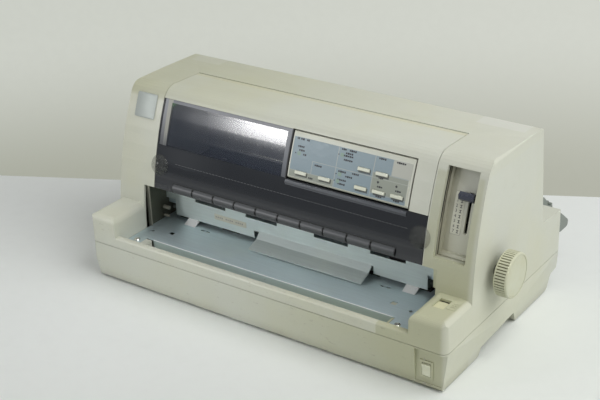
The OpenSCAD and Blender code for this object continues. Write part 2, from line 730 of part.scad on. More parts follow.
module tray_screws() {
  color(steel_colour) place() for (p = [screw_l, screw_r]) difference() {
    union() {
      translate([p[0], p[1], tray_z]) rotate_extrude() polygon([[0, 0], [3.6, 0], [3.6, 0.9],
        [2.8, 1.8], [1.2, 2.1], [0, 2.1]]);
      rod_z(p[0], p[1], 1.5, post_top - 10, tray_z + 0.5);
    }
    for (a = [20, 110]) translate([p[0], p[1], tray_z + 2.1]) rotate(a)
      cube([3.6, 0.8, 2], center = true);
  }
}

module side_outline(ear) {
  top = mouth_z - 1.5;
  polygon(concat([[plate_y0, tray_z - 4], [95, tray_z - 4], [95, 20], [205, 20],
    [205, 118], [178, 118]], ear ? [[lever_c[0] + 9, lever_c[1] + 8], [lever_c[0] - 9,
    lever_c[1] + 8], [118, top]] : [[170, 118], [118, top]], [[plate_y0, top]]));
}
module plate_bores(x0, x1) {
  rod_x(feed_c, feed_shaft_r + run_gap, x0, x1);
  rod_x(rear_c, feed_shaft_r + run_gap, x0, x1);
  rod_x([feed_c[0], pinch_z], pinch_shaft_r + run_gap, x0, x1);
  rod_x([rear_c[0], pinch_z], pinch_shaft_r + run_gap, x0, x1);
  rod_x([rod_y, rod_z], rod_r + run_gap, x0, x1);
}
module side_plate_left() {
  x0 = mech_l - plate_t;
  color(steel_colour) place() difference() {
    union() {
      along_x(x0, mech_l) side_outline(false);
      box([x0, mech_l + 3], [plate_y0, plate_y0 + 1.2], [tray_z + 0.5, mouth_z - 1.5]);
      // Pins on the inner face
      rod_x([84, tray_z + 15.5], 2.2, x0, mech_l + 10.5);
      rod_x([84, tray_z + 4.6], 1.6, x0, mech_l + 9);
    }
    plate_bores(x0 - 1, mech_l + 1);
  }
}
module side_plate_right() {
  x1 = mech_r + plate_t;
  color(steel_colour) place() difference() {
    union() {
      along_x(mech_r, x1) side_outline(true);
      // Stub axles of the idler gears and of the lever
      rod_x(idler_c, lever_pin_r, mech_r, gear_x + gear_w + 1);
      rod_x(mid_c, lever_pin_r, mech_r, gear_x + gear_w + 1);
      rod_x(lever_c, lever_pin_r, mech_r, lever_x + lever_t + 1.5);
    }
    plate_bores(mech_r - 1, x1 + 1);
    rod_x([knob_y, knob_z], feed_shaft_r + run_gap, mech_r - 1, x1 + 1);
    rod_x(motor_c, 4, mech_r - 1, x1 + 1);
  }
}

module front_rail() {
  y0 = guide_y + 4;
  color(zinc_colour) place() along_x(mech_l, mech_r) polygon([[y0, rail_z - 5],
    [y0 + sheet_t, rail_z - 5], [y0 + sheet_t, rail_z - sheet_t], [y0 + 16, rail_z - sheet_t],
    [y0 + 16, rail_z], [y0, rail_z]]);
}

module rear_rail() {
  y0 = rear_rail_y;
  color(zinc_colour) place() difference() {
    union() {
      along_x(mech_l, mech_r) polygon([[y0, 66], [y0 + sheet_t, 66],
        [y0 + sheet_t, rear_rail_top - sheet_t], [y0 + 8, rear_rail_top - sheet_t],
        [y0 + 8, rear_rail_top], [y0, rear_rail_top]]);
      rod_y(pulley_r_x, pulley_z, 2, belt_y - 1, y0 + 0.5);
    }
    rod_y(pulley_l_x, pulley_z, 6, y0 - 1, y0 + 3);
    // Two rows of punched holes
    for (k = [0 : floor((mech_r - mech_l - 64) / 10.5)], r = [0, 1])
      rod_y(mech_l + 32 + k * 10.5, rear_rail_top - 16 - r * 8, 1.7, y0 - 1, y0 + 3);
  }
}

module carriage_shaft() {
  color(steel_colour) place() rod_x([rod_y, rod_z], rod_r, mech_l - 4, mech_r + 4);
}

module platen_bar() {
  h = platen_w / 2;
  color(dark_colour) place() {
    along_x(mech_l + 6, mech_r - 6) polygon(outline([[head_y - h, tray_z - 14, 0],
      [head_y + h, tray_z - 14, 0], [head_y + h, tray_z + 0.9, 2], [head_y - h, tray_z + 0.9, 2]]));
    along_x(mech_l, mech_r) polygon([[head_y - h + 1, tray_z - 13], [head_y + h - 1, tray_z - 13],
      [head_y + h - 1, tray_z - 4], [head_y - h + 1, tray_z - 4]]);
  }
}

module timing_belt() {
  color(dark_colour) place() translate([0, belt_y + belt_w, 0]) rotate([90, 0, 0])
    linear_extrude(belt_w) difference() {
      belt_loop(belt_in_r + belt_t);
      belt_loop(belt_in_r);
    }
}
module belt_loop(r) {
  translate([pulley_l_x, pulley_z]) circle(r);
  translate([pulley_r_x, pulley_z]) circle(r);
  translate([pulley_l_x, pulley_z - r]) square([pulley_r_x - pulley_l_x, 2 * r]);
}

module carriage_motor() {
  y0 = rear_rail_y + sheet_t;
  color(steel_colour) place() difference() {
    union() {
      rod_y(pulley_l_x, pulley_z, 20, y0, y0 + 26);
      rod_y(pulley_l_x, pulley_z, 10, y0 + 26, y0 + 29);
      rod_y(pulley_l_x, pulley_z, 5.8, y0 - sheet_t, y0 + 1);
    }
    rod_y(pulley_l_x, pulley_z, motor_shaft_r + run_gap, y0 - 3, y0 + 14);
  }
}

module feed_motor() {
  color(steel_colour) place() difference() {
    union() {
      rod_x(motor_c, feed_motor_r, mech_r - 24, mech_r);
      rod_x(motor_c, 3.8, mech_r - 1, mech_r + plate_t);
    }
    rod_x(motor_c, motor_shaft_r + run_gap, mech_r - 14, mech_r + 3);
  }
}

module main_board() {
  color("darkgreen") place() {
    box([board_l, board_r], [board_y0, board_y1], [12, 13.6]);
    for (c = [[0.16, 0.27, 28], [0.44, 0.2, 22], [0.73, 0.35, 26]])
      box([board_x(c[0]), board_x(c[0]) + c[2]],
        [board_y(c[1]), board_y(c[1]) + c[2] * 0.6], [13.6, 17]);
    for (x = [board_r - 28, board_r - 16]) rod_z(x, board_y(0.8), 4, 13.6, 27);
  }
}

module power_supply() {
  color("tan") place() {
    box([supply_l, supply_r], [board_y0, board_y1], [12, 13.6]);
    box([supply_l + 4, supply_l + 34], [board_y(0.21), board_y(0.67)], [13.6, 42]);
    box([supply_r - 30, supply_r - 27], [board_y(0.27), board_y(0.97)], [13.6, 44]);
    for (f = [0.36, 0.73]) rod_z(supply_r - 48, board_y(f), 8, 13.6, 40);
  }
}

module power_inlet() {
  y1 = body_d + 1.5;
  color(dark_colour) place() difference() {
    union() {
      box([inlet_x - 13.5, inlet_x + 13.5], [y1 - 22, y1 - 1], [25.2, 44.8]);
      box([inlet_x - 16, inlet_x + 16], [body_d, y1], [23.4, 46.2]);
    }
    box([inlet_x - 11, inlet_x + 11], [y1 - 16, y1 + 1], [27.6, 42.4]);
  }
  color(steel_colour) place() for (p = [[-7, 33], [0, 37], [7, 33]])
    box([inlet_x + p[0] - 1, inlet_x + p[0] + 1], [y1 - 17, y1 - 6], [p[1] - 2, p[1] + 2]);
}

module interface_port() {
  y1 = body_d + 1;
  color(steel_colour) place() difference() {
    union() {
      box([port_x - 35, port_x + 35], [y1 - 14, y1 - 1], [28, 41]);
      box([port_x - 37, port_x + 37], [body_d, y1], [26.4, 42.6]);
    }
    box([port_x - 31, port_x + 31], [y1 - 8, y1 + 1], [30, 39]);
  }
  color(dark_colour) place() box([port_x - 27, port_x + 27], [y1 - 9, y1 - 4.6], [33, 36]);
}

// Buttons as [share of the panel's width from its left edge, depth below the lid's edge]
button_at = [[0.1137, 40.9], [0.313, 40.7], [0.614, 21.8], [0.6114, 40.3], [0.7585, 22],
  [0.7552, 39.8], [0.8983, 39.6]];
function button_place(b) = [panel_l + b[0] * panel_w, lid_z - b[1]];
module button_holes(depth0, depth1) {
  for (b = button_at) on_face(button_place(b)[0], button_place(b)[1])
    translate([0, (depth0 + depth1) / 2, 0])
      cube([button_w + 2 * button_gap, depth1 - depth0, button_h + 2 * button_gap], center = true);
}
module control_panel() {
  x0 = panel_l + cover_gap;
  x1 = panel_r - cover_gap;
  z0 = stile_z + cover_gap;
  z1 = lid_z - cover_gap - 0.3;
  color(case_colour) place() intersection() {
    union() {
      difference() {
        face_band(x0, x1, 0, panel_depth, z0, z1);
        face_band(x0 + 2.4, x1 - 2.4, 3, panel_depth + 1, z0 + 2.4, z1 - 2.4);
        button_holes(-3, 4);
      }
      // Arm to the right pillar, behind the stile
      face_band(x1 - 2, mouth_r, 7, 11, z0 + 9, z1 - 9);
      // Board behind the buttons
      face_band(x0 + 2, x1 - 2, panel_depth - 2, panel_depth - 0.4, z0 + 2, z1 - 2);
    }
    rod_x([hinge_y, hinge_z], strip_swing_r, x0 - 1, mouth_r + 1);
  }
}
module panel_overlay() {
  color([0.62, 0.70, 0.74]) place() difference() {
    face_band(panel_l + 2.5, panel_r - 3, -overlay_t, 0.5, stile_z + 4, lid_z - 6);
    face_band(panel_l, panel_r, 0, panel_depth, stile_z + cover_gap, lid_z - cover_gap - 0.3);
    button_holes(-2, 2);
  }
}
module push_button(k) {
  b = button_place(button_at[k - 1]);
  color([0.88, 0.87, 0.80]) place() on_face(b[0], b[1]) union() {
    difference() {
      translate([-button_w / 2, -button_out, -button_h / 2])
        cube([button_w, button_out + 5, button_h]);
      // Bevels along the front edges
      for (s = [-1, 1]) translate([0, -button_out, s * button_h / 2]) rotate([45, 0, 0])
        cube([button_w + 1, 0.6, 0.6], center = true);
      for (s = [-1, 1]) translate([s * button_w / 2, -button_out, 0]) rotate([0, 0, 45])
        cube([0.6, 0.6, button_h + 1], center = true);
    }
    translate([-button_w / 2 - 0.8, 3.3, -button_h / 2 - 0.8])
      cube([button_w + 1.6, 1.2, button_h + 1.6]);
  }
}
module panel_button_1() { push_button(1); }
module panel_button_2() { push_button(2); }
module panel_button_3() { push_button(3); }
module panel_button_4() { push_button(4); }
module panel_button_5() { push_button(5); }
module panel_button_6() { push_button(6); }
module panel_button_7() { push_button(7); }

module switch_housing() {
  y0 = switch_c[1] - 3.8;
  color([0.82, 0.81, 0.74]) place() difference() {
    union() {
      box([switch_c[0] - switch_w / 2, switch_c[0] + switch_w / 2], [y0, y0 + 1.2],
        [switch_c[2] - switch_h / 2, switch_c[2] + switch_h / 2]);
      box([switch_c[0] - 5.8, switch_c[0] + 5.8], [y0 + 1, y0 + 24],
        [switch_c[2] - 8.2, switch_c[2] + 8.2]);
    }
    box([switch_c[0] - 5, switch_c[0] + 5], [y0 - 1, y0 + 15], [switch_c[2] - 7.6,
      switch_c[2] + 7.6]);
    rod_x([switch_c[1], switch_c[2]], 1 + run_gap, switch_c[0] - 6, switch_c[0] + 6);
  }
}
module power_rocker() {
  color([0.86, 0.85, 0.78]) place() translate([switch_c[0], switch_c[1], switch_c[2]])
    rotate([rocker_tilt, 0, 0]) {
      along_x(-4.7, 4.7) polygon([[-4.6, -6.7], [-3.6, 0], [-4.6, 6.7], [2, 6.2], [5, 2],
        [5, -2], [2, -6.2]]);
      rod_x([0, 0], 1, -5.5, 5.5);
    }
}

module cover_lid() {
  x0 = mouth_l + cover_gap;
  x1 = mouth_r - cover_gap;
  color(lid_colour) place() {
    face_skin(x0, x1, 0, skin_t, lid_z, far);
    face_skin(panel_r, x1, 0, skin_t, stile_z + 0.3, lid_z + 1);
    // Ribs along both ends
    face_skin(x0, x0 + 2, skin_t - 0.5, 9, lid_z, far);
    face_skin(x1 - 2, x1, skin_t - 0.5, 9, lid_z, far);
    for (s = [[x0, mouth_l - wall + 0.3, -1], [x1, mouth_r + wall - 0.3, 1]])
      rod_x([hinge_y, hinge_z], hinge_pin_r, min(s[0] - s[2] * 4, s[1]),
        max(s[0] - s[2] * 4, s[1]));
    for (x = [x0 + 0.5, x1 - 4.5]) rod_x([hinge_y, hinge_z], hinge_depth - 0.5, x, x + 4);
  }
}
module cover_shield() {
  x0 = mouth_l + cover_gap;
  x1 = mouth_r - cover_gap;
  xp = panel_l - cover_gap;
  bead_z = mouth_z + bead_r;
  moulding_z = stile_z - 3.7;
  wx0 = mouth_l + window_side;
  wx1 = panel_l - window_side / 2 - 1;
  color(smoke_colour) place() {
    // Strip under the window and the panel
    face_skin(x0, x1, 0, skin_t, mouth_z + 0.3, stile_z - 0.3);
    // Frame round the window
    face_skin(x0, wx0, 0, skin_t, stile_z - 1, lid_z - 0.3);
    face_skin(wx1, xp, 0, skin_t, stile_z - 1, lid_z - 0.3);
    face_skin(wx0 - 1, wx1 + 1, 0, skin_t, window_z1, lid_z - 0.3);
    face_skin(wx0 - 1, wx1 + 1, window_step, skin_t - 0.1, window_z0 - 1, window_z1 + 1);
    // Flange behind the lid, and side ribs
    face_skin(x0 + 3, xp - 3, skin_t - 0.5, skin_t + 1.6, lid_z - 8, lid_z - 0.3);
    face_skin(x0, x0 + 1.6, skin_t - 0.5, 11, mouth_z + 0.3, lid_z - 3);
    face_skin(x1 - 1.6, x1, skin_t - 0.5, 11, mouth_z + 0.3, stile_z - 1);
    // Flange behind the stile
    face_skin(panel_r + 1.5, x1 - 2, skin_t - 0.5, skin_t + 1.6, stile_z - 4, stile_z - 0.3);
    face_skin(panel_r + 1.5, x1 - 2, skin_t, skin_t + 1.6, stile_z - 1, stile_z + 8);
    // Rounded moulding under the control panel
    rod_x([face_y(moulding_z, 0.9), moulding_z], 2.3, panel_l - 1, panel_r - 1.5);
    // Rounded segments along the lower edge
    for (k = [0 : bead_count - 1])
      along_x(mouth_l + 28 + k * bead_pitch, mouth_l + 28 + (k + 1) * bead_pitch - 1) difference() {
        translate([face_y(bead_z, 3), bead_z]) circle(bead_r);
        translate([face_y(bead_z, 1.5), bead_z - far / 2]) square(far);
      }
  }
}
// Clear half domes over the seam between the cover and the pillars
module cover_tabs() {
  sphere_r = (tab_r * tab_r + tab_out * tab_out) / (2 * tab_out);
  z = tab_z - 3;
  color([0.75, 0.77, 0.78, 0.5]) place()
    for (x = [[mouth_l + 7, mouth_l + cover_gap + 0.4], [mouth_r - 6, mouth_r - cover_gap - 3.4]]) {
      difference() {
        translate([x[0], face_y(z, sphere_r - tab_out), z + sphere_r * sin(lean_at(z)) * 0.85])
          sphere(r = sphere_r);
        translate([x[0], face_y(z, sphere_r - tab_out), z + sphere_r * sin(lean_at(z)) * 0.85])
          sphere(r = sphere_r - 1.6);
        along_x(-far, far) polygon(outline(tall_side(seam_z - 20), -0.4));
      }
      // Foot of the tab on the cover
      face_skin(x[1], x[1] + 3, -0.7, 0, z - 7, z + 11);
    }
}

// Spur gear as an outline of straight-sided teeth, one tooth at angle a
module gear_outline(n, a) {
  r = n * gear_m / 2;
  tip = 0.85 * gear_m;
  root = 1.15 * gear_m;
  half = 0.40 * 180 / n;
  tip_half = half - tip * 0.36 / r * 180 / PI;
  root_half = half + root * 0.36 / (r - root) * 180 / PI;
  polygon([for (k = [0 : n - 1], p = [[r - root, -root_half], [r + tip, -tip_half],
    [r + tip, tip_half], [r - root, root_half]])
    p[0] * [cos(a + k * 360 / n + p[1]), sin(a + k * 360 / n + p[1])]]);
}
module gear(c, n, a, bore) {
  difference() {
    union() {
      translate([0, c[0], c[1]]) along_x(gear_x, gear_x + gear_w) gear_outline(n, a);
    }
    if (bore > 0) rod_x(c, bore, gear_x - 1, gear_x + gear_w + 1);
  }
}

module platen_knob() {
  x0 = case_r + knob_gap;
  x1 = case_r + knob_out;
  w = x1 - x0;
  color([0.84, 0.82, 0.68]) place() translate([x0, knob_y, knob_z]) rotate([0, 90, 0])
    difference() {
      rotate_extrude($fn = 96) polygon([[0, 0], [knob_r - 0.8, 0], [knob_r, 0.8], [knob_r, w - 1.5],
        [knob_r - 0.3, w - 0.6], [knob_r - 1, w], [0, w]]);
      // Grooves between the two plain rims
      translate([0, 0, 1.6]) linear_extrude(w - 3.7) difference() {
        circle(knob_r + 2);
        polygon([for (k = [0 : knob_grooves - 1], p = [[0, -0.28], [0, 0.28], [1.1, 0.36],
          [1.1, 0.64]]) let (a = 360 * (k + p[1]) / knob_grooves)
          (knob_r + 0.05 - p[0]) * [cos(a), sin(a)]]);
      }
      // Hollow back, and a shallow dish in the front
      difference() {
        translate([0, 0, -1]) cylinder(r = knob_r - 3.6, h = w - 1.4);
        translate([0, 0, -2]) cylinder(r = feed_shaft_r + 3, h = w);
      }
      translate([0, 0, w - 0.35]) cylinder(r = knob_r - 2.5, h = 1);
      translate([0, 0, -1]) cylinder(r = feed_shaft_r, h = w - 3);
    }
}
module knob_shaft() {
  color(steel_colour) place() {
    rod_x([knob_y, knob_z], feed_shaft_r, mech_r - 4, case_r + knob_out - 4);
    gear([knob_y, knob_z], knob_teeth, knob_phase, 0);
  }
}
module knob_idler_gear() {
  color("ivory") place() gear(idler_c, roller_teeth, idler_phase, lever_pin_r + run_gap);
}
module middle_idler_gear() {
  color("ivory") place() gear(mid_c, mid_teeth, mid_phase, lever_pin_r + run_gap);
}
module feed_shaft(c, phase) {
  rod_x(c, feed_shaft_r, mech_l - 4, gear_x + gear_w + 1);
  gear(c, roller_teeth, phase, 0);
}
module front_feed_shaft() {
  color(steel_colour) place() feed_shaft(feed_c, 0);
}
module rear_feed_shaft() {
  color(steel_colour) place() feed_shaft(rear_c, rear_phase);
}
module sleeves(c, r, bore) {
  for (x = roller_places()) difference() {
    rod_x(c, r, x - roller_l / 2, x + roller_l / 2);
    rod_x(c, bore, x - roller_l, x + roller_l);
  }
}
module front_feed_rollers() {
  color(dark_colour) place() sleeves(feed_c, roller_r, feed_shaft_r);
}
module rear_feed_rollers() {
  color(dark_colour) place() sleeves(rear_c, roller_r, feed_shaft_r);
}
module pinch_rollers(y) {
  rod_x([y, pinch_z], pinch_shaft_r, mech_l - 3, mech_r + 3);
  for (x = roller_places())
    rod_x([y, pinch_z], pinch_r, x - roller_l / 2 + 2, x + roller_l / 2 - 2);
}
module front_pinch_rollers() {
  color("gray") place() pinch_rollers(feed_c[0]);
}
module rear_pinch_rollers() {
  color("gray") place() pinch_rollers(rear_c[0]);
}
module motor_pinion() {
  color("goldenrod") place() {
    gear(motor_c, pinion_teeth, pinion_phase, 0);
    rod_x(motor_c, motor_shaft_r, mech_r - 12, gear_x + 1);
  }
}

module carriage() {
  hw = carriage_hw;
  color(dark_colour) place() translate([carriage_x, 0, 0]) difference() {
    union() {
      box([-hw, hw], [guide_y + 9, rod_y + 7], [deck_z, deck_z + deck_t]);
      box([-10, 10], [guide_y + 8, guide_y + 17], [shoe_z, deck_z + 1]);
      for (x = [-hw, hw - 2.4]) box([x, x + 2.4], [guide_y + 12, rod_y + 6],
        [deck_z + deck_t - 1, rod_z + 11]);
      rod_x([rod_y, rod_z], rod_r + 4, -hw, hw);
      box([-8, 8], [rod_y + 6, rear_rail_y - 0.4], [deck_z, pulley_z - 4.5]);
    }
    rod_x([rod_y, rod_z], rod_r + run_gap, -hw - 1, hw + 1);
    box([-13.5, 13.5], [head_y - 13, head_y + 13], [deck_z - 2, deck_z + deck_t + 1]);
    box([-9, 9], [belt_y - 0.3, far], [pulley_z - belt_in_r - belt_t - 0.3,
      pulley_z - belt_in_r + 0.3]);
  }
}
module print_head() {
  top = deck_z + deck_t;
  color([0.30, 0.31, 0.33]) place() translate([carriage_x, head_y, 0]) {
    box([-12, 12], [-12, 12], [tray_z + 8, top + 4]);
    box([-5, 5], [-4, 4], [tray_z + 2.4, tray_z + 9]);
    box([-18, 18], [-13.6, 13.6], [top, top + 2]);
    for (k = [0 : 5]) box([-15 + k * 5.68, -13.4 + k * 5.68], [-13.6, 13.6], [top + 1, rod_z + 9]);
    rod_z(0, 0, 9, top + 1, rod_z + 7);
  }
}
module ribbon_cartridge() {
  z0 = rod_z + 11;
  z1 = z0 + 16;
  color([0.10, 0.10, 0.11]) place() translate([carriage_x, 0, 0]) difference() {
    union() {
      along_z(z0, z1) polygon(outline([[-ribbon_hw, 102, 8], [ribbon_hw, 102, 8],
        [ribbon_hw, 156, 12], [-ribbon_hw, 156, 12]]));
      for (x = [-ribbon_hw + 12, ribbon_hw - 16]) box([x, x + 4], [head_y - 5, head_y + 5],
        [tray_z + 4, z0 + 1]);
      // Winding knob on the top
      rod_z(-24, 118, 6.5, z1 - 1, z1 + 3);
    }
    for (x = [-ribbon_hw + 10, ribbon_hw - 12]) box([x, x + 2], [112, 146], [z1 - 1, z1 + 1]);
  }
}

module pulley(x, bore, shaft) {
  y0 = belt_y - 1.2;
  y1 = belt_y + belt_w + 0.9;
  difference() {
    union() {
      rod_y(x, pulley_z, pulley_r, y0, y1);
      rod_y(x, pulley_z, pulley_r + 2.2, y0, y0 + 0.8);
      rod_y(x, pulley_z, pulley_r + 2.2, y1 - 0.6, y1);
      if (shaft) rod_y(x, pulley_z, motor_shaft_r, y0, rear_rail_y + sheet_t + 12);
    }
    if (bore > 0) rod_y(x, pulley_z, bore, y0 - 1, y1 + 1);
  }
}
module drive_pulley() {
  color("ivory") place() pulley(pulley_l_x, 0, true);
}
module idler_pulley() {
  color("ivory") place() pulley(pulley_r_x, 2 + run_gap, false);
}

// Lever with its grip, drawn at the upper end of its swing
module thickness_lever() {
  color([0.22, 0.23, 0.28]) place() translate([0, lever_c[0], lever_c[1]])
    rotate([-lever_lean - lever_swing / 2, 0, 0]) difference() {
      union() {
        box([lever_x, lever_x + lever_t], [-lever_l - 6, 0], [-3, 3]);
        rod_x([0, 0], 7, lever_x, lever_x + lever_t);
        along_x(lever_x - 8.2, lever_x + 8.5) polygon(outline([[-lever_l - 10.8, -4.7, 0.6],
          [-lever_l - 4, -5.4, 0.6], [-lever_l - 4, 3.9, 0.6], [-lever_l - 10.8, 3.3, 0.6],
          [-lever_l - 12.4, 0.6, 0], [-lever_l - 12.4, -2, 0]]));
      }
      rod_x([0, 0], lever_pin_r + run_gap, lever_x - 1, lever_x + lever_t + 1);
    }
}

module release_slider() {
  z1 = arm_top - wall;
  color([0.86, 0.84, 0.72]) place() difference() {
    union() {
      box([slider_x0 + fit_gap, slider_x0 + slider_w - fit_gap], [slider_y0 + fit_gap,
        slider_y0 + fit_gap + slider_grip], [z1 - 1, arm_top - 1.6]);
      box([slider_x0 - 1.9, slider_x0 + slider_w + 1.9], [slider_y0 - 4, slider_y0 + 17],
        [z1 - 4.7, z1 - fit_gap]);
    }
    // Shallow finger hollow
    box([slider_x0 + 2, slider_x0 + slider_w - 2], [slider_y0 + 4, slider_y0 + slider_grip - 3],
      [arm_top - 1.8, arm_top]);
  }
}

// Tractor unit behind the case
function end_plate() = [[body_d + 0.3, tractor_z - 14, 2], [tractor_y - 2, tractor_z - 14, 4],
  [tractor_y + 14, tractor_z - 22.5, 4], [rear_reach, tractor_z - 22.5, 4.5],
  [rear_reach, tractor_z - 15, 4], [tractor_y + 15, tractor_z + 1, 5],
  [tractor_y + 3, tractor_z + 10, 4], [body_d + 0.3, tractor_z + 9, 3]];
module tractor_frame() {
  color([0.45, 0.47, 0.49]) place() {
    for (x = [mech_l - 4, mech_r + 25]) difference() {
      along_x(x, x + 4) polygon(outline(end_plate()));
      rod_x([tractor_y, tractor_z], square_h + run_gap, x - 1, x + 5);
    }
    rod_x([rod2_y, rod2_z], rod2_r, mech_l - 1, mech_r + 26);
    // Cross member under the shafts
    box([mech_l - 1, mech_r + 26], [rod2_y - 6, rod2_y + 8], [tractor_z - 13.9, tractor_z - 11.5]);
  }
}
module tractor_shaft() {
  color(steel_colour) place() {
    along_x(mech_l + 2, mech_r + 23) translate([tractor_y, tractor_z])
      square(2 * square_h - 0.9, center = true);
    rod_x([tractor_y, tractor_z], square_h, mech_l - 4, mech_l + 2.5);
    rod_x([tractor_y, tractor_z], square_h, mech_r + 22.5, mech_r + 29);
  }
}
module tractor(x, side) {
  c = [tractor_y, tractor_z];
  color([0.30, 0.31, 0.33]) place() difference() {
    along_x(min(x, x + side * 4), max(x, x + side * 4)) polygon(outline([[rod2_y - 6, tractor_z - 11, 2],
      [tractor_y + 10, tractor_z - 11, 5], [tractor_y + 11, tractor_z + 11, 3],
      [tractor_y - 2.5, tractor_z + 15, 1], [tractor_y - 3.5, tractor_z + 21, 2],
      [tractor_y - 14, tractor_z + 31, 4], [rod2_y - 6, tractor_z + 31, 2]]));
    rod_x(c, square_h + 1.3 + run_gap, x - 6, x + 6);
    rod_x([rod2_y, rod2_z], rod2_r + run_gap, x - 6, x + 6);
  }
  // Shelf that carries the paper's edge, and the lid's hinge ears
  color([0.30, 0.31, 0.33]) place() {
    box([min(x, x + side * 20), max(x, x + side * 20)], [rod2_y - 5, tractor_y - wheel_r - 2.4],
      [tractor_z + 8, tractor_z + 10.6]);
    rod_x(lid_pivot, 1.2, min(x, x + side * 22), max(x, x + side * 22));
    along_x(min(x, x + side * 4), max(x, x + side * 4)) translate([lid_pivot[0] - 2, tractor_z + 9])
      square([4, 5]);
  }
}
module tractor_left() { tractor(tractor_l_x, 1); }
module tractor_right() { tractor(tractor_r_x, -1); }
module pin_wheel(x, side) {
  xa = min(x + side * 6, x + side * 14);
  color("ivory") place() difference() {
    union() {
      rod_x([tractor_y, tractor_z], wheel_r, xa, xa + 8);
      rod_x([tractor_y, tractor_z], square_h + 1.3, min(x + side * 0.6, x + side * 14),
        max(x + side * 0.6, x + side * 14));
      for (k = [0 : 7]) translate([xa + 4, tractor_y, tractor_z]) rotate([k * 45 + 22.5, 0, 0])
        translate([0, 0, wheel_r - 2]) cylinder(r = 1.5, h = 3.8);
    }
    along_x(xa - 20, xa + 20) translate([tractor_y, tractor_z])
      square(2 * square_h - 0.8, center = true);
  }
}
module pin_wheel_left() { pin_wheel(tractor_l_x, 1); }
module pin_wheel_right() { pin_wheel(tractor_r_x, -1); }
module tractor_lid(x, side) {
  xa = min(x + side * 4.4, x + side * 21);
  color([0.45, 0.47, 0.49]) place() difference() {
    union() {
      rod_x(lid_pivot, 2.6, xa, xa + 16.6);
      box([xa, xa + 16.6], [rod2_y - 4, lid_pivot[0]], [lid_pivot[1] - 0.4, lid_pivot[1] + 1.8]);
    }
    rod_x(lid_pivot, 1.2 + run_gap, xa - 1, xa + 18);
    // Slot over the pins
    box([xa + 3, xa + 9], [tractor_y - 9, tractor_y + 4], [lid_pivot[1] - 3, lid_pivot[1] + 1]);
  }
}
module tractor_lid_left() { tractor_lid(tractor_l_x, 1); }
module tractor_lid_right() { tractor_lid(tractor_r_x, -1); }

bottom_case();
top_case();
rubber_feet();
tray_plate();
guide_plate();
paper_pads();
tray_screws();
side_plate_left();
side_plate_right();
front_rail();
rear_rail();
carriage_shaft();
platen_bar();
timing_belt();
carriage_motor();
feed_motor();
main_board();
power_supply();
power_inlet();
interface_port();
control_panel();
panel_overlay();
switch_housing();
tractor_frame();
cover_lid();
cover_shield();
cover_tabs();
platen_knob();
knob_shaft();
knob_idler_gear();
front_feed_shaft();
front_feed_rollers();
middle_idler_gear();
rear_feed_shaft();
rear_feed_rollers();
front_pinch_rollers();
rear_pinch_rollers();
motor_pinion();
carriage();
print_head();
ribbon_cartridge();
drive_pulley();
idler_pulley();
thickness_lever();
release_slider();
panel_button_1();
panel_button_2();
panel_button_3();
panel_button_4();
panel_button_5();
panel_button_6();
panel_button_7();
power_rocker();
tractor_shaft();
tractor_left();
tractor_right();
pin_wheel_left();
pin_wheel_right();
tractor_lid_left();
tractor_lid_right();
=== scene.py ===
# Flat printer for forms: finishes, small fittings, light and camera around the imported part.
# Lengths in this file are millimetres: x from the middle of the case, y from its front face,
# z from the table. They turn into metres, in the part's own frame, when a piece is put in place.

import math

import bmesh
import bpy
from mathutils import Euler, Matrix, Vector


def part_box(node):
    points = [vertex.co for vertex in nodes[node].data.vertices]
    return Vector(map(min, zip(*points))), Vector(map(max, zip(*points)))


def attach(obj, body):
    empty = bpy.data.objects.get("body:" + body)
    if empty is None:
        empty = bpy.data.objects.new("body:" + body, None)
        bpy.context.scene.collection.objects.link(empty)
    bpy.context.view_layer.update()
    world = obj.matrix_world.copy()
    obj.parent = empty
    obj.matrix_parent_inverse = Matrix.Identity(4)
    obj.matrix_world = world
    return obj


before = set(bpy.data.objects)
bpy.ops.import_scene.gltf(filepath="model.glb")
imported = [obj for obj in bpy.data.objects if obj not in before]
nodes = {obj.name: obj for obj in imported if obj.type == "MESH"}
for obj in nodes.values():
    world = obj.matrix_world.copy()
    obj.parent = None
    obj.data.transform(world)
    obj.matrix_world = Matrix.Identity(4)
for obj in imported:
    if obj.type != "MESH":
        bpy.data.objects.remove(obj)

MM, PER_METRE = 0.001, 1000
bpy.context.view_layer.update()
case_lo, case_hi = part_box("bottom_case")
MIDDLE = (case_lo.x + case_hi.x) / 2
FRONT = case_lo.y

# The leaning front of the case is one round face
BROW_R, LEAN_FOOT, LEAN_TOP = 20, math.radians(5.5), math.radians(24)
BODY_H, ARM_TOP, ARM_D = 216, 82, 53
FACE_RISE = BODY_H - BROW_R + BROW_R * math.sin(LEAN_TOP) - ARM_TOP
FACE_R = FACE_RISE / (math.sin(LEAN_TOP) - math.sin(LEAN_FOOT))
FACE_Y = ARM_D + FACE_R * math.cos(LEAN_FOOT)
FACE_Z = ARM_TOP - FACE_R * math.sin(LEAN_FOOT)
CASE_R = 232.5
SEAM_Z = 47
MOUTH_L, MOUTH_R = -180, 173
PANEL_L, PANEL_R = 0, 149.5
STILE_Z, LID_Z = 155, 205
# The rounded segments along the lower edge of the shield
BEAD_L, BEAD_R, BEAD_STEP = MOUTH_L + 28, MOUTH_L + 321, 29.4
# x and z of each push button
BUTTONS = ((17, 163.3), (46.8, 163.5), (91.8, 182.3), (91.4, 163.8), (113.4, 182.1),
           (112.9, 164.3), (134.3, 164.5))
# The lever recess
RECESS_L, RECESS_R, RECESS_D = 183.6, 219.9, 12
RECESS_LOW, RECESS_HIGH = 115.6, 206.8
KNOB_Y, KNOB_Z = 103.5, 94.3
TROUGH_L, TROUGH_R, LIP_Y = -168, 153, 33
ZINC_TINT = (0.58, 0.69, 0.72)


def face_y(z, out=0.0):
    """How far back the leaning front is at height z, that much in front of its skin."""
    return FACE_Y - math.sqrt((FACE_R + out) ** 2 - (z - FACE_Z) ** 2)


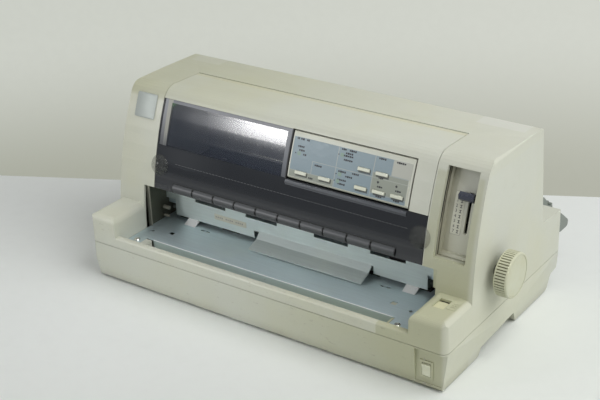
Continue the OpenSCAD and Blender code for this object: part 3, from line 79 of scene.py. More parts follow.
def spot(x, y, z):
    """A place on the object, in metres in the part's frame."""
    return Vector((MIDDLE + x * MM, FRONT + y * MM, z * MM))


def away(y, z, y0, z0):
    """How far a finish's y, z is from y0, z0."""
    return ((y - y0) ** 2.0 + (z - z0) ** 2.0) ** 0.5


# Finishes


class Wire:
    """One output of a finish's nodes. Sums written with wires add the nodes for them."""

    def __init__(self, plan, socket):
        self.plan = plan
        self.socket = socket

    def _sum(self, operation, *values):
        return self.plan.add("ShaderNodeMath", {"operation": operation}, dict(enumerate(values)))

    def __add__(self, other):
        return self._sum("ADD", self, other)

    def __sub__(self, other):
        return self._sum("SUBTRACT", self, other)

    def __rsub__(self, other):
        return self._sum("SUBTRACT", other, self)

    def __mul__(self, other):
        return self._sum("MULTIPLY", self, other)

    def __pow__(self, other):
        return self._sum("POWER", self, other)

    def __or__(self, other):
        return self._sum("MAXIMUM", self, other)


class Plan:
    """The nodes of one finish."""

    def __init__(self, tree):
        self.tree = tree
        self.corner = None

    def add(self, kind, settings=None, values=None, out=0):
        """A node of this kind: its settings first, then the values or wires of its sockets."""
        node = self.tree.nodes.new(kind)
        for name, value in (settings or {}).items():
            if name == "stops":
                ramp = node.color_ramp
                while len(ramp.elements) < len(value):
                    ramp.elements.new(0.5)
                for stop, (place, colour) in zip(ramp.elements, value):
                    stop.position, stop.color = place, (*colour, 1)
            else:
                setattr(node, name, value)
        for key, value in (values or {}).items():
            self.feed(node.inputs[key], value)
        return Wire(self, node.outputs[out]) if node.outputs else node

    def feed(self, socket, value):
        if isinstance(value, Wire):
            self.tree.links.new(value.socket, socket)
        elif isinstance(value, tuple) and len(value) == 3 and socket.type == "RGBA":
            socket.default_value = (*value, 1)
        else:
            socket.default_value = value

    def place(self):
        if self.corner is None:
            self.corner = self.add("ShaderNodeTexCoord", out="Object")
        return self.corner

    def split(self, place):
        """x, y and z of a place."""
        node = self.add("ShaderNodeSeparateXYZ", None, {0: place}).socket.node
        return [Wire(self, socket) for socket in node.outputs]

    def axes(self):
        """x, y and z of the surface in this file's millimetres."""
        x, y, z = self.split(self.place())
        return (x - MIDDLE) * PER_METRE, (y - FRONT) * PER_METRE, z * PER_METRE

    def stretched(self, scale):
        return self.add("ShaderNodeMapping", None, {"Vector": self.place(), "Scale": scale})

    def noise(self, scale, detail=2.0, rough=0.5, at=None):
        return self.add("ShaderNodeTexNoise", None, {"Vector": at or self.place(),
                        "Scale": scale, "Detail": detail, "Roughness": rough})

    def ease(self, value, lo, hi, start=0.0, end=1.0):
        """start below lo, end above hi, and a soft change between them."""
        return self.add("ShaderNodeMapRange", {"interpolation_type": "SMOOTHSTEP"},
                        {"Value": value, "From Min": lo, "From Max": hi, "To Min": start,
                         "To Max": end})

    def band(self, value, lo, hi, soft=0.3):
        """1 between lo and hi."""
        return self.ease(value, lo - soft, lo + soft) * self.ease(value, hi - soft, hi + soft, 1, 0)

    def patch(self, x, z, x0, x1, z0, z1, soft=0.3):
        return self.band(x, x0, x1, soft) * self.band(z, z0, z1, soft)

    def mix(self, share, first, second, mode="MIX"):
        return self.add("ShaderNodeMix", {"data_type": "RGBA", "blend_type": mode},
                        {0: share, 6: first, 7: second}, out=2)

    def taken(self, name):
        """What feeds a socket of the shader now."""
        return Wire(self, self.shader.inputs[name].links[0].from_socket)

    def bump(self, height, strength, distance, normal=None):
        values = {"Height": height, "Strength": strength, "Distance": distance}
        if normal is not None:
            values["Normal"] = normal
        return self.add("ShaderNodeBump", None, values)


def again(material):
    """The plan of a finish that is there already, to add to it."""
    plan = Plan(material.node_tree)
    plan.material = material
    plan.shader = material.node_tree.nodes["Principled BSDF"]
    return plan


def finish(name, **sockets):
    """A new material with its plan. sockets are set on its shader."""
    material = bpy.data.materials.new(name)
    material.use_nodes = True
    plan = again(material)
    dress(plan, **sockets)
    return plan


def dress(plan, **sockets):
    """Sets or feeds the shader's sockets, named with low dashes for spaces."""
    for name, value in sockets.items():
        plan.feed(plan.shader.inputs[name.replace("_", " ")], value)
    return plan.material


def moulded(name, tint, rough=0.43, grain=0.12, clean=False):
    """Textured office plastic, a little yellowed, rubbed, and dusty at its foot unless clean."""
    plan = finish(name)
    _, _, z = plan.axes()
    aged = (tint[0], tint[1] * 0.985, tint[2] * 0.89)
    cloud = plan.noise(7, 3, 0.6)
    colour = plan.mix(plan.ease(cloud, 0.35, 0.7), tint, aged)
    speck = plan.noise(950, 2, 0.6)
    colour = plan.mix(plan.ease(speck, 0.3, 0.7, 0.0, 0.16), colour,
                      tuple(c * 0.82 for c in tint))
    rub = plan.noise(60, 4, 0.65, plan.stretched((0.3, 1.0, 1.0)))
    colour = plan.mix(plan.ease(rub, 0.62, 0.8, 0, 0.22), colour, tuple(c * 0.7 for c in tint))
    if not clean:
        dust = plan.ease(z, 3, 16, 0.28, 0.0) * plan.ease(cloud, 0.3, 0.6, 0.5, 1.0)
        colour = plan.mix(dust, colour, (0.24, 0.22, 0.17))
    skin = plan.bump(plan.noise(1150, 3, 0.55), grain, 0.0002)
    skin = plan.bump(plan.noise(18, 2, 0.5), 0.05, 0.002, skin)
    return dress(plan, Base_Color=colour, Normal=skin,
                 Roughness=plan.ease(rub, 0.3, 0.8, rough - 0.06, rough + 0.08))


def case_finish():
    """The case: paler where labels were; painted shade, a little yellowed, on the roof's left and
    the front's right; painted shade in the lever recess and inside.
    """
    tint = (0.605, 0.62, 0.54)
    plan = again(moulded("case_moulded", tint))
    x, y, z = plan.axes()
    base = plan.taken("Base Color")
    pale = plan.patch(x, y, -219, -178, 183, 205, 1.0) | plan.patch(x, y, 163, 219, 182, 203, 1.0)
    roof = plan.ease(z, 200, 204)
    colour = plan.mix(roof * 0.2, base, (0.60, 0.60, 0.46))
    colour = plan.mix(pale * roof * 0.55, colour, (0.66, 0.67, 0.62))
    # Partly yellowing, partly painted shade: the roof is darker and yellower to the left
    colour = plan.mix(roof * plan.ease(x, 190, -240), colour, (0.84, 0.84, 0.76), "MULTIPLY")
    seam = plan.band(z, SEAM_Z - 0.6, SEAM_Z + 0.4, 0.4) * 0.25
    colour = plan.mix(seam, colour, (0.20, 0.19, 0.15))
    scuffs = plan.noise(90, 3, 0.7, plan.stretched((1.0, 0.4, 3.0)))
    low = plan.ease(y, 2, 8, 1, 0) * plan.ease(scuffs, 0.63, 0.72, 0, 0.4)
    colour = plan.mix(low, colour, (0.36, 0.34, 0.27))
    # Painted shade, a little yellowed: the front is darker on its right: pillar, arm, and slowly
    # along the foot
    depth = y - (FACE_Y - (FACE_R ** 2 - (z - FACE_Z) ** 2.0) ** 0.5)
    shaded_right = ((plan.ease(x, MOUTH_R + 0.6, MOUTH_R + 1.2) * plan.ease(z, ARM_TOP, ARM_TOP + 3))
              | (plan.ease(x, TROUGH_R - 1, TROUGH_R) * plan.band(z, SEAM_Z + 0.5, ARM_TOP + 2, 0.5))
              | (plan.ease(x, -60, 220) * plan.ease(z, SEAM_Z, SEAM_Z + 1, 1, 0)))
    shaded_right = shaded_right * plan.ease(x, CASE_R - 8.5, CASE_R - 3.5, 1, 0) * plan.ease(z, 199, 203, 1, 0)
    shaded_right = shaded_right * plan.ease(depth, 3, 6, 1, 0) * plan.ease(z, 215, 90, 0.85, 1.0)
    colour = plan.mix(shaded_right, colour, (0.84, 0.84, 0.73), "MULTIPLY")
    # The floor of the lever recess is warmer, and darker with painted shade deeper in and towards
    # its left wall
    floor = plan.patch(x, z, RECESS_L, RECESS_R, RECESS_LOW, RECESS_HIGH, 0.2)
    floor = floor * plan.ease(depth, RECESS_D + 2, RECESS_D + 4, 1, 0)
    shade = floor * plan.ease(depth, 3.0, 8.0) * plan.ease(x, 186, 205, 0.6, 0.15)
    colour = plan.mix(shade, colour, (0.33, 0.305, 0.20))
    # A dark joint down its left wall, wider above
    wall = floor * plan.ease(x, RECESS_L + 1.3, RECESS_L + 2, 1, 0)
    joint_end = depth - plan.ease(z, 146, 156, 0.6, 2.2)
    joint = plan.ease(depth, 4.8, 5.1) * plan.ease(joint_end, 5.0, 5.3, 1, 0)
    colour = plan.mix(wall * joint, colour, (0.008, 0.008, 0.006))
    # Painted shade: inside walls are darker
    inner = plan.ease(depth, 4, 6) * plan.band(x, MOUTH_L - 0.6, MOUTH_R + 0.6, 0.3)
    inner = inner * plan.band(z, 88, 204, 0.5)
    colour = plan.mix(inner * plan.ease(y, 208.5, 209, 1, 0), colour, (0.4, 0.4, 0.42), "MULTIPLY")
    return dress(plan, Base_Color=colour)


def lid_finish():
    """The lid: yellowed along its rear edge, darker to the left with painted shade, and painted
    shade in the gap round the control panel.
    """
    tint = (0.62, 0.635, 0.55)
    plan = again(moulded("lid_moulded", tint, grain=0.1, clean=True))
    x, y, z = plan.axes()
    base = plan.taken("Base Color")
    stripe = plan.ease(y, 139.5, 142.5) * plan.ease(z, 205, 208) * 0.5
    colour = plan.mix(stripe, base, (0.60, 0.58, 0.38))
    # Partly yellowing, partly painted shade: darker and yellower to the left
    colour = plan.mix(plan.ease(x, 150, -240), colour, (0.88, 0.88, 0.84), "MULTIPLY")
    # Painted shade in the gap round the control panel
    gap_shade = plan.patch(x, z, PANEL_L - 2, PANEL_R + 0.8, STILE_Z - 3, LID_Z + 0.5, 0.2)
    colour = plan.mix(gap_shade * plan.ease(y, 110, 112, 1, 0), colour, (0.055, 0.052, 0.03))
    return dress(plan, Base_Color=colour)


def knob_finish():
    """The knob: paler ribs and grime in its grooves."""
    plan = finish("knob_moulded")
    x, y, z = plan.axes()
    reach = away(y, z, KNOB_Y, KNOB_Z)
    cloud = plan.noise(30, 3, 0.6)
    colour = plan.mix(plan.ease(cloud, 0.3, 0.7), (0.60, 0.615, 0.475), (0.575, 0.575, 0.41))
    ring = plan.band(reach, 21.5, 22.2, 0.25) * plan.ease(x, CASE_R + 21.4, CASE_R + 22) * 0.3
    colour = plan.mix(ring, colour, (0.30, 0.29, 0.20))
    groove = plan.ease(reach, 23.2, 23.9, 0.95, 0.0) * plan.ease(reach, 21.2, 22.0)
    groove = groove * plan.band(x, CASE_R + 8.9, CASE_R + 20.5, 0.3)
    colour = plan.mix(groove, colour, (0.17, 0.16, 0.09))
    skin = plan.bump(plan.noise(1300, 2, 0.5), 0.1, 0.0002)
    return dress(plan, Base_Color=colour, Normal=skin,
                 Roughness=plan.ease(cloud, 0.3, 0.7, 0.42, 0.55))


def smoke_finish():
    """The shield: near-black glossy strip, clear smoked window with its lighter frame."""
    plan = finish("smoked_plastic", IOR=1.65)
    x, y, z = plan.axes()
    window = plan.patch(x, z, MOUTH_L + 13, PANEL_L - 7.5, STILE_Z, LID_Z - 3.5, 0.25)
    rim = plan.patch(x, z, MOUTH_L + 3.4, PANEL_L - 2.2, STILE_Z + 0.4, LID_Z + 4, 0.3)
    rim = rim * (1 - window)
    haze = plan.noise(26, 3, 0.6)
    scuff = plan.noise(140, 4, 0.7, plan.stretched((0.12, 1.0, 1.0)))
    colour = plan.mix(plan.ease(scuff, 0.6, 0.85, 0, 0.6), (0.011, 0.013, 0.017),
                      (0.045, 0.05, 0.06))
    # Painted reflection: lighter below z 125, above the segments
    colour = plan.mix(plan.ease(z, 127.5, 125, 0, 1), colour, (0.022, 0.024, 0.029))
    colour = plan.mix(window, colour, (0.04, 0.05, 0.075))
    frame_tint = plan.mix(plan.ease(x, MOUTH_L + 11, MOUTH_L + 8, 1, 0), (0.155, 0.165, 0.185),
                          (0.06, 0.07, 0.09))
    # Painted reflection: a pale stripe down the left of the frame, fading lower down
    frame_reflection = plan.band(x, MOUTH_L + 7.6, MOUTH_L + 14, 0.8) * plan.ease(z, 150, 178, 0.15, 0.9)
    frame_tint = plan.mix(frame_reflection, frame_tint, (0.27, 0.27, 0.22))
    shade = plan.ease(z, 158, 196, 0.35, 1) | plan.ease(x, MOUTH_L + 7, MOUTH_L + 9)
    colour = plan.mix(rim * shade * plan.ease(z, 150, 172, 0.55, 1), colour, frame_tint)
    # Painted reflection: a soft lighter patch on the strip under the left of the window
    strip_reflection = plan.band(x, MOUTH_L + 3, MOUTH_L + 70, 45) * plan.band(z, 136, 156, 5)
    colour = plan.mix(strip_reflection * 0.6, colour, (0.05, 0.053, 0.058))
    green = window * plan.ease(x + (LID_Z - z) * 1.2, MOUTH_L + 16, MOUTH_L + 29, 1, 0)
    colour = plan.mix(green, colour, (0.035, 0.16, 0.03))
    # The rounded segments, lighter grey as a painted soft highlight, and the dark joints between
    # them
    bead = plan.ease(z, 114.6, 115.2, 1, 0) * plan.band(x, BEAD_L, BEAD_R, 0.3)
    colour = plan.mix(bead, colour, (0.06, 0.064, 0.07))
    part = plan.add("ShaderNodeMath", {"operation": "MODULO"}, {0: x - BEAD_L, 1: BEAD_STEP})
    joint = plan.ease(part, 27.0, 27.6) | plan.ease(part, 0.5, 0.9, 1, 0)
    joint = (joint * plan.ease(z, 115, 115.6, 1, 0)) | plan.band(z, 114.6, 116.0, 0.3)
    joint = joint * plan.band(x, BEAD_L - 1, BEAD_R + 0.6, 0.3)
    colour = plan.mix(joint, colour, (0.006, 0.007, 0.008))
    # Painted highlight: the moulding under the panel is lighter, as two lit stripes with a dark line
    # between
    moulding = plan.band(x, PANEL_L - 1, PANEL_R - 1.5, 0.3) * plan.band(z, 148.9, 153.9, 0.3)
    colour = plan.mix(moulding, colour, (0.06, 0.068, 0.082))
    colour = plan.mix(moulding * plan.band(z, 150.6, 151.3, 0.25), colour, (0.01, 0.011, 0.014))
    clear = plan.ease(haze, 0.3, 0.7, 0.36, 0.42)
    clear = clear + plan.ease(x, -105, -30, 0, 0.2) * plan.ease(z, 182, 198)
    alpha = 1 - window * (1 - clear) * (1 - green * 0.7)
    # Painted shade: a dark line in the gap along the control panel's left edge
    edge = plan.ease(x, PANEL_L - 2.4, PANEL_L - 2.1) * plan.ease(x, PANEL_L + 1, PANEL_L + 2, 1, 0)
    edge = edge * plan.ease(z, 154.5, 155.5)
    colour = plan.mix(edge, colour, (0.008, 0.009, 0.01))
    rough = (plan.ease(haze, 0.3, 0.7, 0.135, 0.155) + bead * 0.34 + rim * 0.25 + moulding * 0.32
             + edge * 0.5)
    # The flats of the mesh are rounded up to the true round face, outside and inside
    reach = away(y, z, FACE_Y, FACE_Z)
    bulge = (FACE_R - reach) * plan.ease(reach, FACE_R - 1.4, FACE_R - 0.8, -0.001, 0.001)
    skin = plan.bump(bulge * plan.ease(z, 118, 122), 1.0, 1.0)
    skin = plan.bump(plan.noise(9, 2, 0.5), 0.008, 0.004, skin)
    return dress(plan, Base_Color=colour, Roughness=rough, Alpha=alpha, Normal=skin)


def clear_finish():
    """The finger tabs: clear glossy plastic with fine scratches."""
    plan = finish("clear_plastic_tab", IOR=1.49)
    haze = plan.noise(160, 3, 0.6)
    scratch = plan.noise(420, 3, 0.7, plan.stretched((1.0, 1.0, 0.15)))
    colour = plan.mix(plan.ease(haze, 0.3, 0.7), (0.16, 0.165, 0.15), (0.10, 0.105, 0.095))
    rim = plan.add("ShaderNodeLayerWeight", None, {"Blend": 0.35}, out="Facing")
    return dress(plan, Base_Color=colour, Alpha=plan.ease(rim, 0.5, 0.95, 0.16, 0.6),
                 Roughness=plan.ease(scratch, 0.4, 0.8, 0.05, 0.2),
                 Normal=plan.bump(scratch, 0.05, 0.0002))


def print_finish():
    """The panel's overlay: printed fields with thin pale lines between them."""
    plan = finish("overlay_print", IOR=1.45)
    x, _, z = plan.axes()
    ground = (0.235, 0.305, 0.345)
    blue, grey, pale = (0.245, 0.32, 0.36), (0.305, 0.33, 0.28), (0.47, 0.48, 0.425)
    line = (0.44, 0.46, 0.42)
    colour = plan.mix(plan.noise(40, 2), ground, blue)
    colour = plan.mix(plan.ease(x, 144.4, 144.8), colour, (0.56, 0.57, 0.48))
    fields = [
        (57.6, 101.8, 179.2, 199, blue), (59.0, 102.0, 159.2, 178.0, blue),
        (103.6, 124.0, 184.0, 199, blue), (124.4, 146.5, 184.0, 199, pale),
        (103.2, 144.6, 163.6, 183.2, grey), (103.6, 123.6, 159.6, 162.4, ground),
        (124.9, 144.2, 159.6, 162.6, ground), (2.5, 57.8, 159, 165.6, grey),
    ]
    for x0, x1, z0, z1, tint in fields:
        colour = plan.mix(plan.patch(x, z, x0, x1, z0, z1, 0.12), colour, tint)
    edges = [(58.2, 58.9, 159, 199), (102.4, 103.2, 159, 199), (58.2, 146.5, 178.3, 178.9),
             (103.2, 146.5, 183.3, 183.8), (123.9, 124.3, 183.5, 199), (2.5, 58.2, 165.6, 166.0),
             (29.2, 29.8, 165.8, 178.6), (29.2, 57.9, 178.4, 178.9), (144.6, 145.0, 159, 183.5),
             (103.4, 144.6, 162.7, 163.2)]
    lines = None
    for x0, x1, z0, z1 in edges:
        mark = plan.patch(x, z, x0, x1, z0, z1, 0.14)
        lines = mark if lines is None else lines | mark
    colour = plan.mix(lines * 0.8, colour, line)
    # Painted shadow to the right of and under each button
    for bx, bz in BUTTONS:
        dark = plan.patch(x, z, bx - 6.2, bx + 8.6, bz - 2.7, bz + 1.9, 0.3)
        colour = plan.mix(dark * 0.85, colour, (0.05, 0.055, 0.05))
    wear = plan.noise(300, 3, 0.6)
    colour = plan.mix(plan.ease(wear, 0.55, 0.8, 0, 0.12), colour, (0.55, 0.56, 0.5))
    return dress(plan, Base_Color=colour, Roughness=plan.ease(wear, 0.3, 0.7, 0.36, 0.46),
                 Normal=plan.bump(plan.noise(1500, 2), 0.04, 0.0001))


def sheet_finish(name, tint, rough=0.38, metal=0.75, streak=0.25):
    """Zinc-plated sheet: drawn streaks, faint spangle and finger marks."""
    plan = finish(name)
    drawn = plan.noise(340, 4, 0.7, plan.stretched((0.06, 1.0, 1.0)))
    bloom = plan.noise(16, 4, 0.6)
    colour = plan.mix(plan.ease(drawn, 0.3, 0.7, 0, streak), tint, tuple(c * 0.72 for c in tint))
    colour = plan.mix(plan.ease(bloom, 0.5, 0.75, 0, 0.3), colour,
                      (tint[0] * 1.12, tint[1] * 1.08, tint[2] * 0.98))
    stain = plan.noise(120, 5, 0.7)
    colour = plan.mix(plan.ease(stain, 0.66, 0.74, 0, 0.3), colour, (0.16, 0.14, 0.11))
    skin = plan.bump(drawn, 0.05, 0.0002)
    skin = plan.bump(plan.noise(6, 2), 0.06, 0.004, skin)
    return dress(plan, Base_Color=colour, Metallic=metal, Normal=skin,
                 Roughness=plan.ease(bloom, 0.3, 0.7, rough - 0.05, rough + 0.1))


def tray_finish():
    """The tray: plated sheet, with a painted highlight along its front fold."""
    plan = again(sheet_finish("tray_sheet_plated", ZINC_TINT, rough=0.42, metal=0.5))
    x, y, z = plan.axes()
    # Painted highlight along the front fold, broken up by noise
    fold_highlight = plan.band(y, LIP_Y - 0.4, LIP_Y + 0.75, 0.2) * plan.ease(z, 49.2, 49.6)
    fold_highlight = fold_highlight * plan.band(x, TROUGH_L + 0.8, TROUGH_R - 0.8, 0.4)
    wear_and_sheen = plan.noise(40, 3, 0.6)
    base = plan.taken("Base Color")
    colour = plan.mix(fold_highlight * plan.ease(wear_and_sheen, 0.3, 0.6, 0.75, 1.0), base, (0.85, 0.87, 0.88))
    return dress(plan, Base_Color=colour, Metallic=0.5 - fold_highlight * 0.5)


def side_finish():
    """The side plates: dark olive as painted shade, a paler front flange and bright pins."""
    # Painted shade: the plates are dark olive, their front flange paler
    plan = again(sheet_finish("side_sheet_plated", (0.15, 0.155, 0.12), rough=0.5, metal=0.6))
    x, y, z = plan.axes()
    base = plan.taken("Base Color")
    colour = plan.mix(plan.ease(y, 61.0, 61.4, 1, 0), base, (0.36, 0.36, 0.31))
    pins = plan.band(x, -192.2, -183, 0.3) * plan.ease(z, 50.5, 51.5)
    return dress(plan, Base_Color=plan.mix(pins, colour, (0.46, 0.44, 0.37)))


def turned_finish(name, tint, rough=0.28):
    """Turned and ground steel with rings round it."""
    plan = finish(name)
    rings = plan.noise(900, 3, 0.6, plan.stretched((1.0, 0.1, 0.1)))
    spots = plan.noise(210, 4, 0.6)
    colour = plan.mix(plan.ease(spots, 0.55, 0.8, 0, 0.4), tint, tuple(c * 0.6 for c in tint))
    return dress(plan, Base_Color=colour, Metallic=0.95, Normal=plan.bump(rings, 0.06, 0.0002),
                 Roughness=plan.ease(rings, 0.3, 0.7, rough - 0.05, rough + 0.1))


def dull_finish(name, tint, rough=0.55, wear_and_sheen=0.3, grain=0.15):
    """Unpainted inner plastic, rubber or felt, with rubbed places and a fine grain."""
    plan = finish(name)
    cloud = plan.noise(70, 4, 0.6)
    fine = plan.noise(1400, 3, 0.6)
    colour = plan.mix(plan.ease(cloud, 0.45, 0.75, 0, wear_and_sheen), tint,
                      tuple(min(1.0, c * 1.5 + 0.02) for c in tint))
    colour = plan.mix(plan.ease(fine, 0.35, 0.7, 0, 0.2), colour, tuple(c * 0.7 for c in tint))
    return dress(plan, Base_Color=colour, Normal=plan.bump(fine, grain, 0.0003),
                 Roughness=plan.ease(cloud, 0.3, 0.7, rough - 0.08, rough + 0.08))


def board_finish():
    """Circuit board: green lacquer, pale tracks, dark parts above it."""
    plan = finish("board_lacquer")
    _, _, z = plan.axes()
    track = plan.add("ShaderNodeTexBrick", {"offset": 0.5},
                     {"Vector": plan.place(), "Color1": (0.03, 0.16, 0.07),
                      "Color2": (0.02, 0.12, 0.05), "Mortar": (0.12, 0.30, 0.14), "Scale": 60.0,
                      "Mortar Size": 0.03})
    parts = plan.ease(z, 13.9, 14.4)
    shade = plan.mix(plan.noise(80, 2), (0.03, 0.03, 0.035), (0.09, 0.085, 0.08))
    return dress(plan, Base_Color=plan.mix(parts, track, shade),
                 Roughness=plan.ease(plan.noise(120, 2), 0.3, 0.7, 0.35, 0.55),
                 Normal=plan.bump(plan.noise(700, 3), 0.1, 0.0003))


CASE = case_finish()
LID = lid_finish()
SMOKE = smoke_finish()
CLEAR = clear_finish()
PRINT = print_finish()
KNOB = knob_finish()
BUTTON = moulded("button_moulded", (0.75, 0.77, 0.655), grain=0.05, clean=True, rough=0.42)
ZINC = sheet_finish("zinc_sheet_plated", ZINC_TINT, rough=0.42, metal=0.5)
TRAY = tray_finish()
RAIL = sheet_finish("inner_rail_sheet", (0.17, 0.19, 0.22), rough=0.6, metal=0.4)
SCREW = turned_finish("screw_bright", (0.86, 0.86, 0.82), 0.22)
SLIDER = moulded("slider_moulded", (0.68, 0.68, 0.50), grain=0.05, clean=True)
GUIDE = sheet_finish("guide_sheet_plated", (0.67, 0.75, 0.735), rough=0.45, metal=0.4)
OLIVE = side_finish()
STEEL = turned_finish("turned_steel", (0.52, 0.52, 0.50))
MOTOR = turned_finish("motor_can_steel", (0.30, 0.30, 0.29), 0.4)
BRASS = turned_finish("turned_brass", (0.60, 0.44, 0.17), 0.3)
DARK = dull_finish("black_inner_plastic", (0.028, 0.028, 0.03))
GREY = dull_finish("grey_inner_plastic", (0.23, 0.255, 0.23))
GEAR = dull_finish("gear_white_plastic", (0.62, 0.61, 0.55), 0.42, 0.2, 0.05)
RUBBER = dull_finish("black_rubber", (0.035, 0.034, 0.033), 0.8)
LEVER = dull_finish("lever_dark_plastic", (0.045, 0.05, 0.072), 0.3, 0.35, 0.05)
FELT = dull_finish("white_paper_pad", (0.97, 0.98, 0.97), 0.9, 0.05, 0.3)
BOARD = board_finish()
PLATE = sheet_finish("badge_plate_metal", (0.42, 0.455, 0.43), rough=0.5, metal=0.3, streak=0.1)
LABEL = dull_finish("cream_label", (0.62, 0.62, 0.52), 0.5, 0.15, 0.05)
INK = dull_finish("dark_print_ink", (0.03, 0.03, 0.035), 0.5, 0.15, 0.02)
FAINT = dull_finish("faint_print_ink", (0.36, 0.36, 0.32), 0.5, 0.2, 0.02)
DASH = dull_finish("strip_print_ink", (0.13, 0.135, 0.14), 0.4, 0.2, 0.02)
LAMP = dull_finish("lamp_window_green", (0.25, 0.35, 0.29), 0.45, 0.1, 0.02)

BY_SLOT = {
    "case_plastic": CASE, "lid_plastic": LID, "smoke_plastic": SMOKE, "clear_plastic": CLEAR,
    "panel_print": PRINT, "button_plastic": BUTTON, "knob_plastic": KNOB, "zinc_sheet": ZINC,
    "steel": STEEL, "dark_plastic": DARK, "lever_plastic": LEVER, "grey_plastic": GREY,
    "gear_plastic": GEAR, "felt": FELT, "rubber": RUBBER, "circuit_board": BOARD,
    "motor_steel": MOTOR, "brass": BRASS,
}
BY_NODE = {
    "guide_plate": GUIDE, "side_plate_left": OLIVE, "side_plate_right": OLIVE, "tray_plate": TRAY,
    "rear_rail": RAIL, "tray_screws": SCREW, "release_slider": SLIDER,
}
# Width of the softened edges. The shield has none, as a bevel spoils its round face.
SOFT_EDGE = {
    "bottom_case": 0.7, "top_case": 0.6, "cover_lid": 0.4, "control_panel": 0.4,
    "tray_plate": 0.45, "guide_plate": 0.2, "side_plate_left": 0.2, "switch_housing": 0.3,
    "release_slider": 0.3, "power_rocker": 0.4, "thickness_lever": 0.4, "tractor_frame": 0.4,
}
for count in range(len(BUTTONS)):
    SOFT_EDGE["panel_button_%d" % (count + 1)] = 0.35
WELD_REACH, SOFTEN_OVER = 0.01 * MM, math.radians(40)

for name, node in nodes.items():
    for place in node.material_slots:
        slot = place.material.name.split(".")[0]
        place.material = BY_NODE.get(name) or BY_SLOT[slot]
    if name in SOFT_EDGE:
        weld = node.modifiers.new("weld", "WELD")
        weld.merge_threshold = WELD_REACH
        round_off = node.modifiers.new("soft_edge", "BEVEL")
        round_off.width = SOFT_EDGE[name] * MM
        round_off.segments = 2
        round_off.limit_method = "ANGLE"
        round_off.angle_limit = SOFTEN_OVER
        round_off.harden_normals = True


# Small pieces

SMOOTH_BELOW = math.radians(35)


def as_mesh(name, form):
    """The form as a mesh. The form is used up."""
    mesh = bpy.data.meshes.new(name)
    form.to_mesh(mesh)
    form.free()
    return mesh


def show(name, data):
    """A new object in the scene."""
    thing = bpy.data.objects.new(name, data)
    bpy.context.scene.collection.objects.link(thing)
    return thing


def block(width, depth, height, corner=0.0, rim=0.0, cuts=0, side_cuts=0):
    """A plate with rounded corners and a softened rim, middle at 0, foot at z = 0."""
    form = bmesh.new()
    bmesh.ops.create_cube(form, size=1)
    bmesh.ops.scale(form, vec=(width, depth, height), verts=form.verts)
    bmesh.ops.translate(form, vec=(0, 0, height / 2), verts=form.verts)
    if corner:
        upright = [e for e in form.edges
                   if abs(e.verts[0].co.z - e.verts[1].co.z) > height / 2]
        bmesh.ops.bevel(form, geom=upright, offset=corner, affect="EDGES", segments=4,
                        profile=0.5, material=-1)
    if rim:
        upper = [e for e in form.edges if all(v.co.z > height * 0.99 for v in e.verts)]
        bmesh.ops.bevel(form, geom=upper, offset=rim, affect="EDGES", segments=2, profile=0.5,
                        material=-1)
    for count, size, way in ((cuts, depth, (0, 1, 0)), (side_cuts, width, (1, 0, 0))):
        for step in range(count):
            line = -size / 2 + size * (step + 1) / (count + 1)
            bmesh.ops.bisect_plane(form, geom=form.verts[:] + form.edges[:] + form.faces[:],
                                   plane_co=[line * k for k in way], plane_no=way)
    return form


def ring_plate(width, depth, height, border, corner):
    """A rounded frame: a plate with its middle sunk."""
    form = block(width, depth, height, corner)
    top = [f for f in form.faces if f.normal.z > 0.9]
    bmesh.ops.inset_region(form, faces=top, thickness=border, use_even_offset=True)
    top = [f for f in form.faces if f.normal.z > 0.9
           and all(abs(v.co.x) < width / 2 - border * 0.5 and abs(v.co.y) < depth / 2 - border * 0.5
                   for v in f.verts)]
    bmesh.ops.translate(form, vec=(0, 0, -height * 0.8),
                        verts=list({v for f in top for v in f.verts}))
    return form


def join(*forms):
    """Several forms as one."""
    whole = bmesh.new()
    for form in forms:
        mesh = as_mesh("part", form)
        whole.from_mesh(mesh)
        bpy.data.meshes.remove(mesh)
    return whole


def move(form, x=0.0, y=0.0, z=0.0, turn=None):
    """Turns a form about its own zero, then moves it."""
    if turn is not None:
        bmesh.ops.rotate(form, cent=(0, 0, 0), matrix=Euler(turn).to_matrix(), verts=form.verts)
    bmesh.ops.translate(form, vec=(x, y, z), verts=form.verts)
    return form


def on_front(form, x, z, out=0.0):
    """Lays a form that was made flat onto the leaning front: its y is height, its z stands out."""
    for v in form.verts:
        height = z + v.co.y
        v.co = Vector((x + v.co.x, face_y(height, out + v.co.z), height))
    return form


def letter(sign, size):
    """A plain numeral or stroke as a flat form, middle at 0."""
    curve = bpy.data.curves.new("sign", "FONT")
    curve.body = sign
    curve.size = size
    curve.align_x = "CENTER"
    curve.align_y = "CENTER"
    curve.extrude = 0.02
    curve.resolution_u = 2
    holder = show("sign", curve)
    mesh = bpy.data.meshes.new_from_object(holder)
    form = bmesh.new()
    form.from_mesh(mesh)
    bpy.data.objects.remove(holder)
    bpy.data.curves.remove(curve)
    bpy.data.meshes.remove(mesh)
    bmesh.ops.remove_doubles(form, verts=form.verts, dist=0.0005)
    return form


def put(name, form, material, body):
    """Makes the form a piece: its faces outward, its place in the mesh, riding on a body."""
    bmesh.ops.recalc_face_normals(form, faces=form.faces)
    for edge in form.edges:
        edge.smooth = len(edge.link_faces) == 2 and edge.calc_face_angle() < SMOOTH_BELOW
    for face in form.faces:
        face.smooth = True
    for v in form.verts:
        v.co = spot(*v.co)
    mesh = as_mesh(name, form)
    mesh.materials.append(material)
    piece = show(name, mesh)
    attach(piece, body)


def badge_plate():
    """The bare plate in the badge's place."""
    x, z = -203.4, 192.6
    form = block(28.6, 26.4, 0.7, 1.6, 0.25, cuts=6)
    put("badge_plate", on_front(form, x, z, 0.02), PLATE, "chassis")
    # A thin step round the plate, where it is let in
    edge = ring_plate(30.6, 28.4, 0.25, 0.9, 2.2)
    put("badge_seat", on_front(edge, x, z, 0.0), CASE, "chassis")


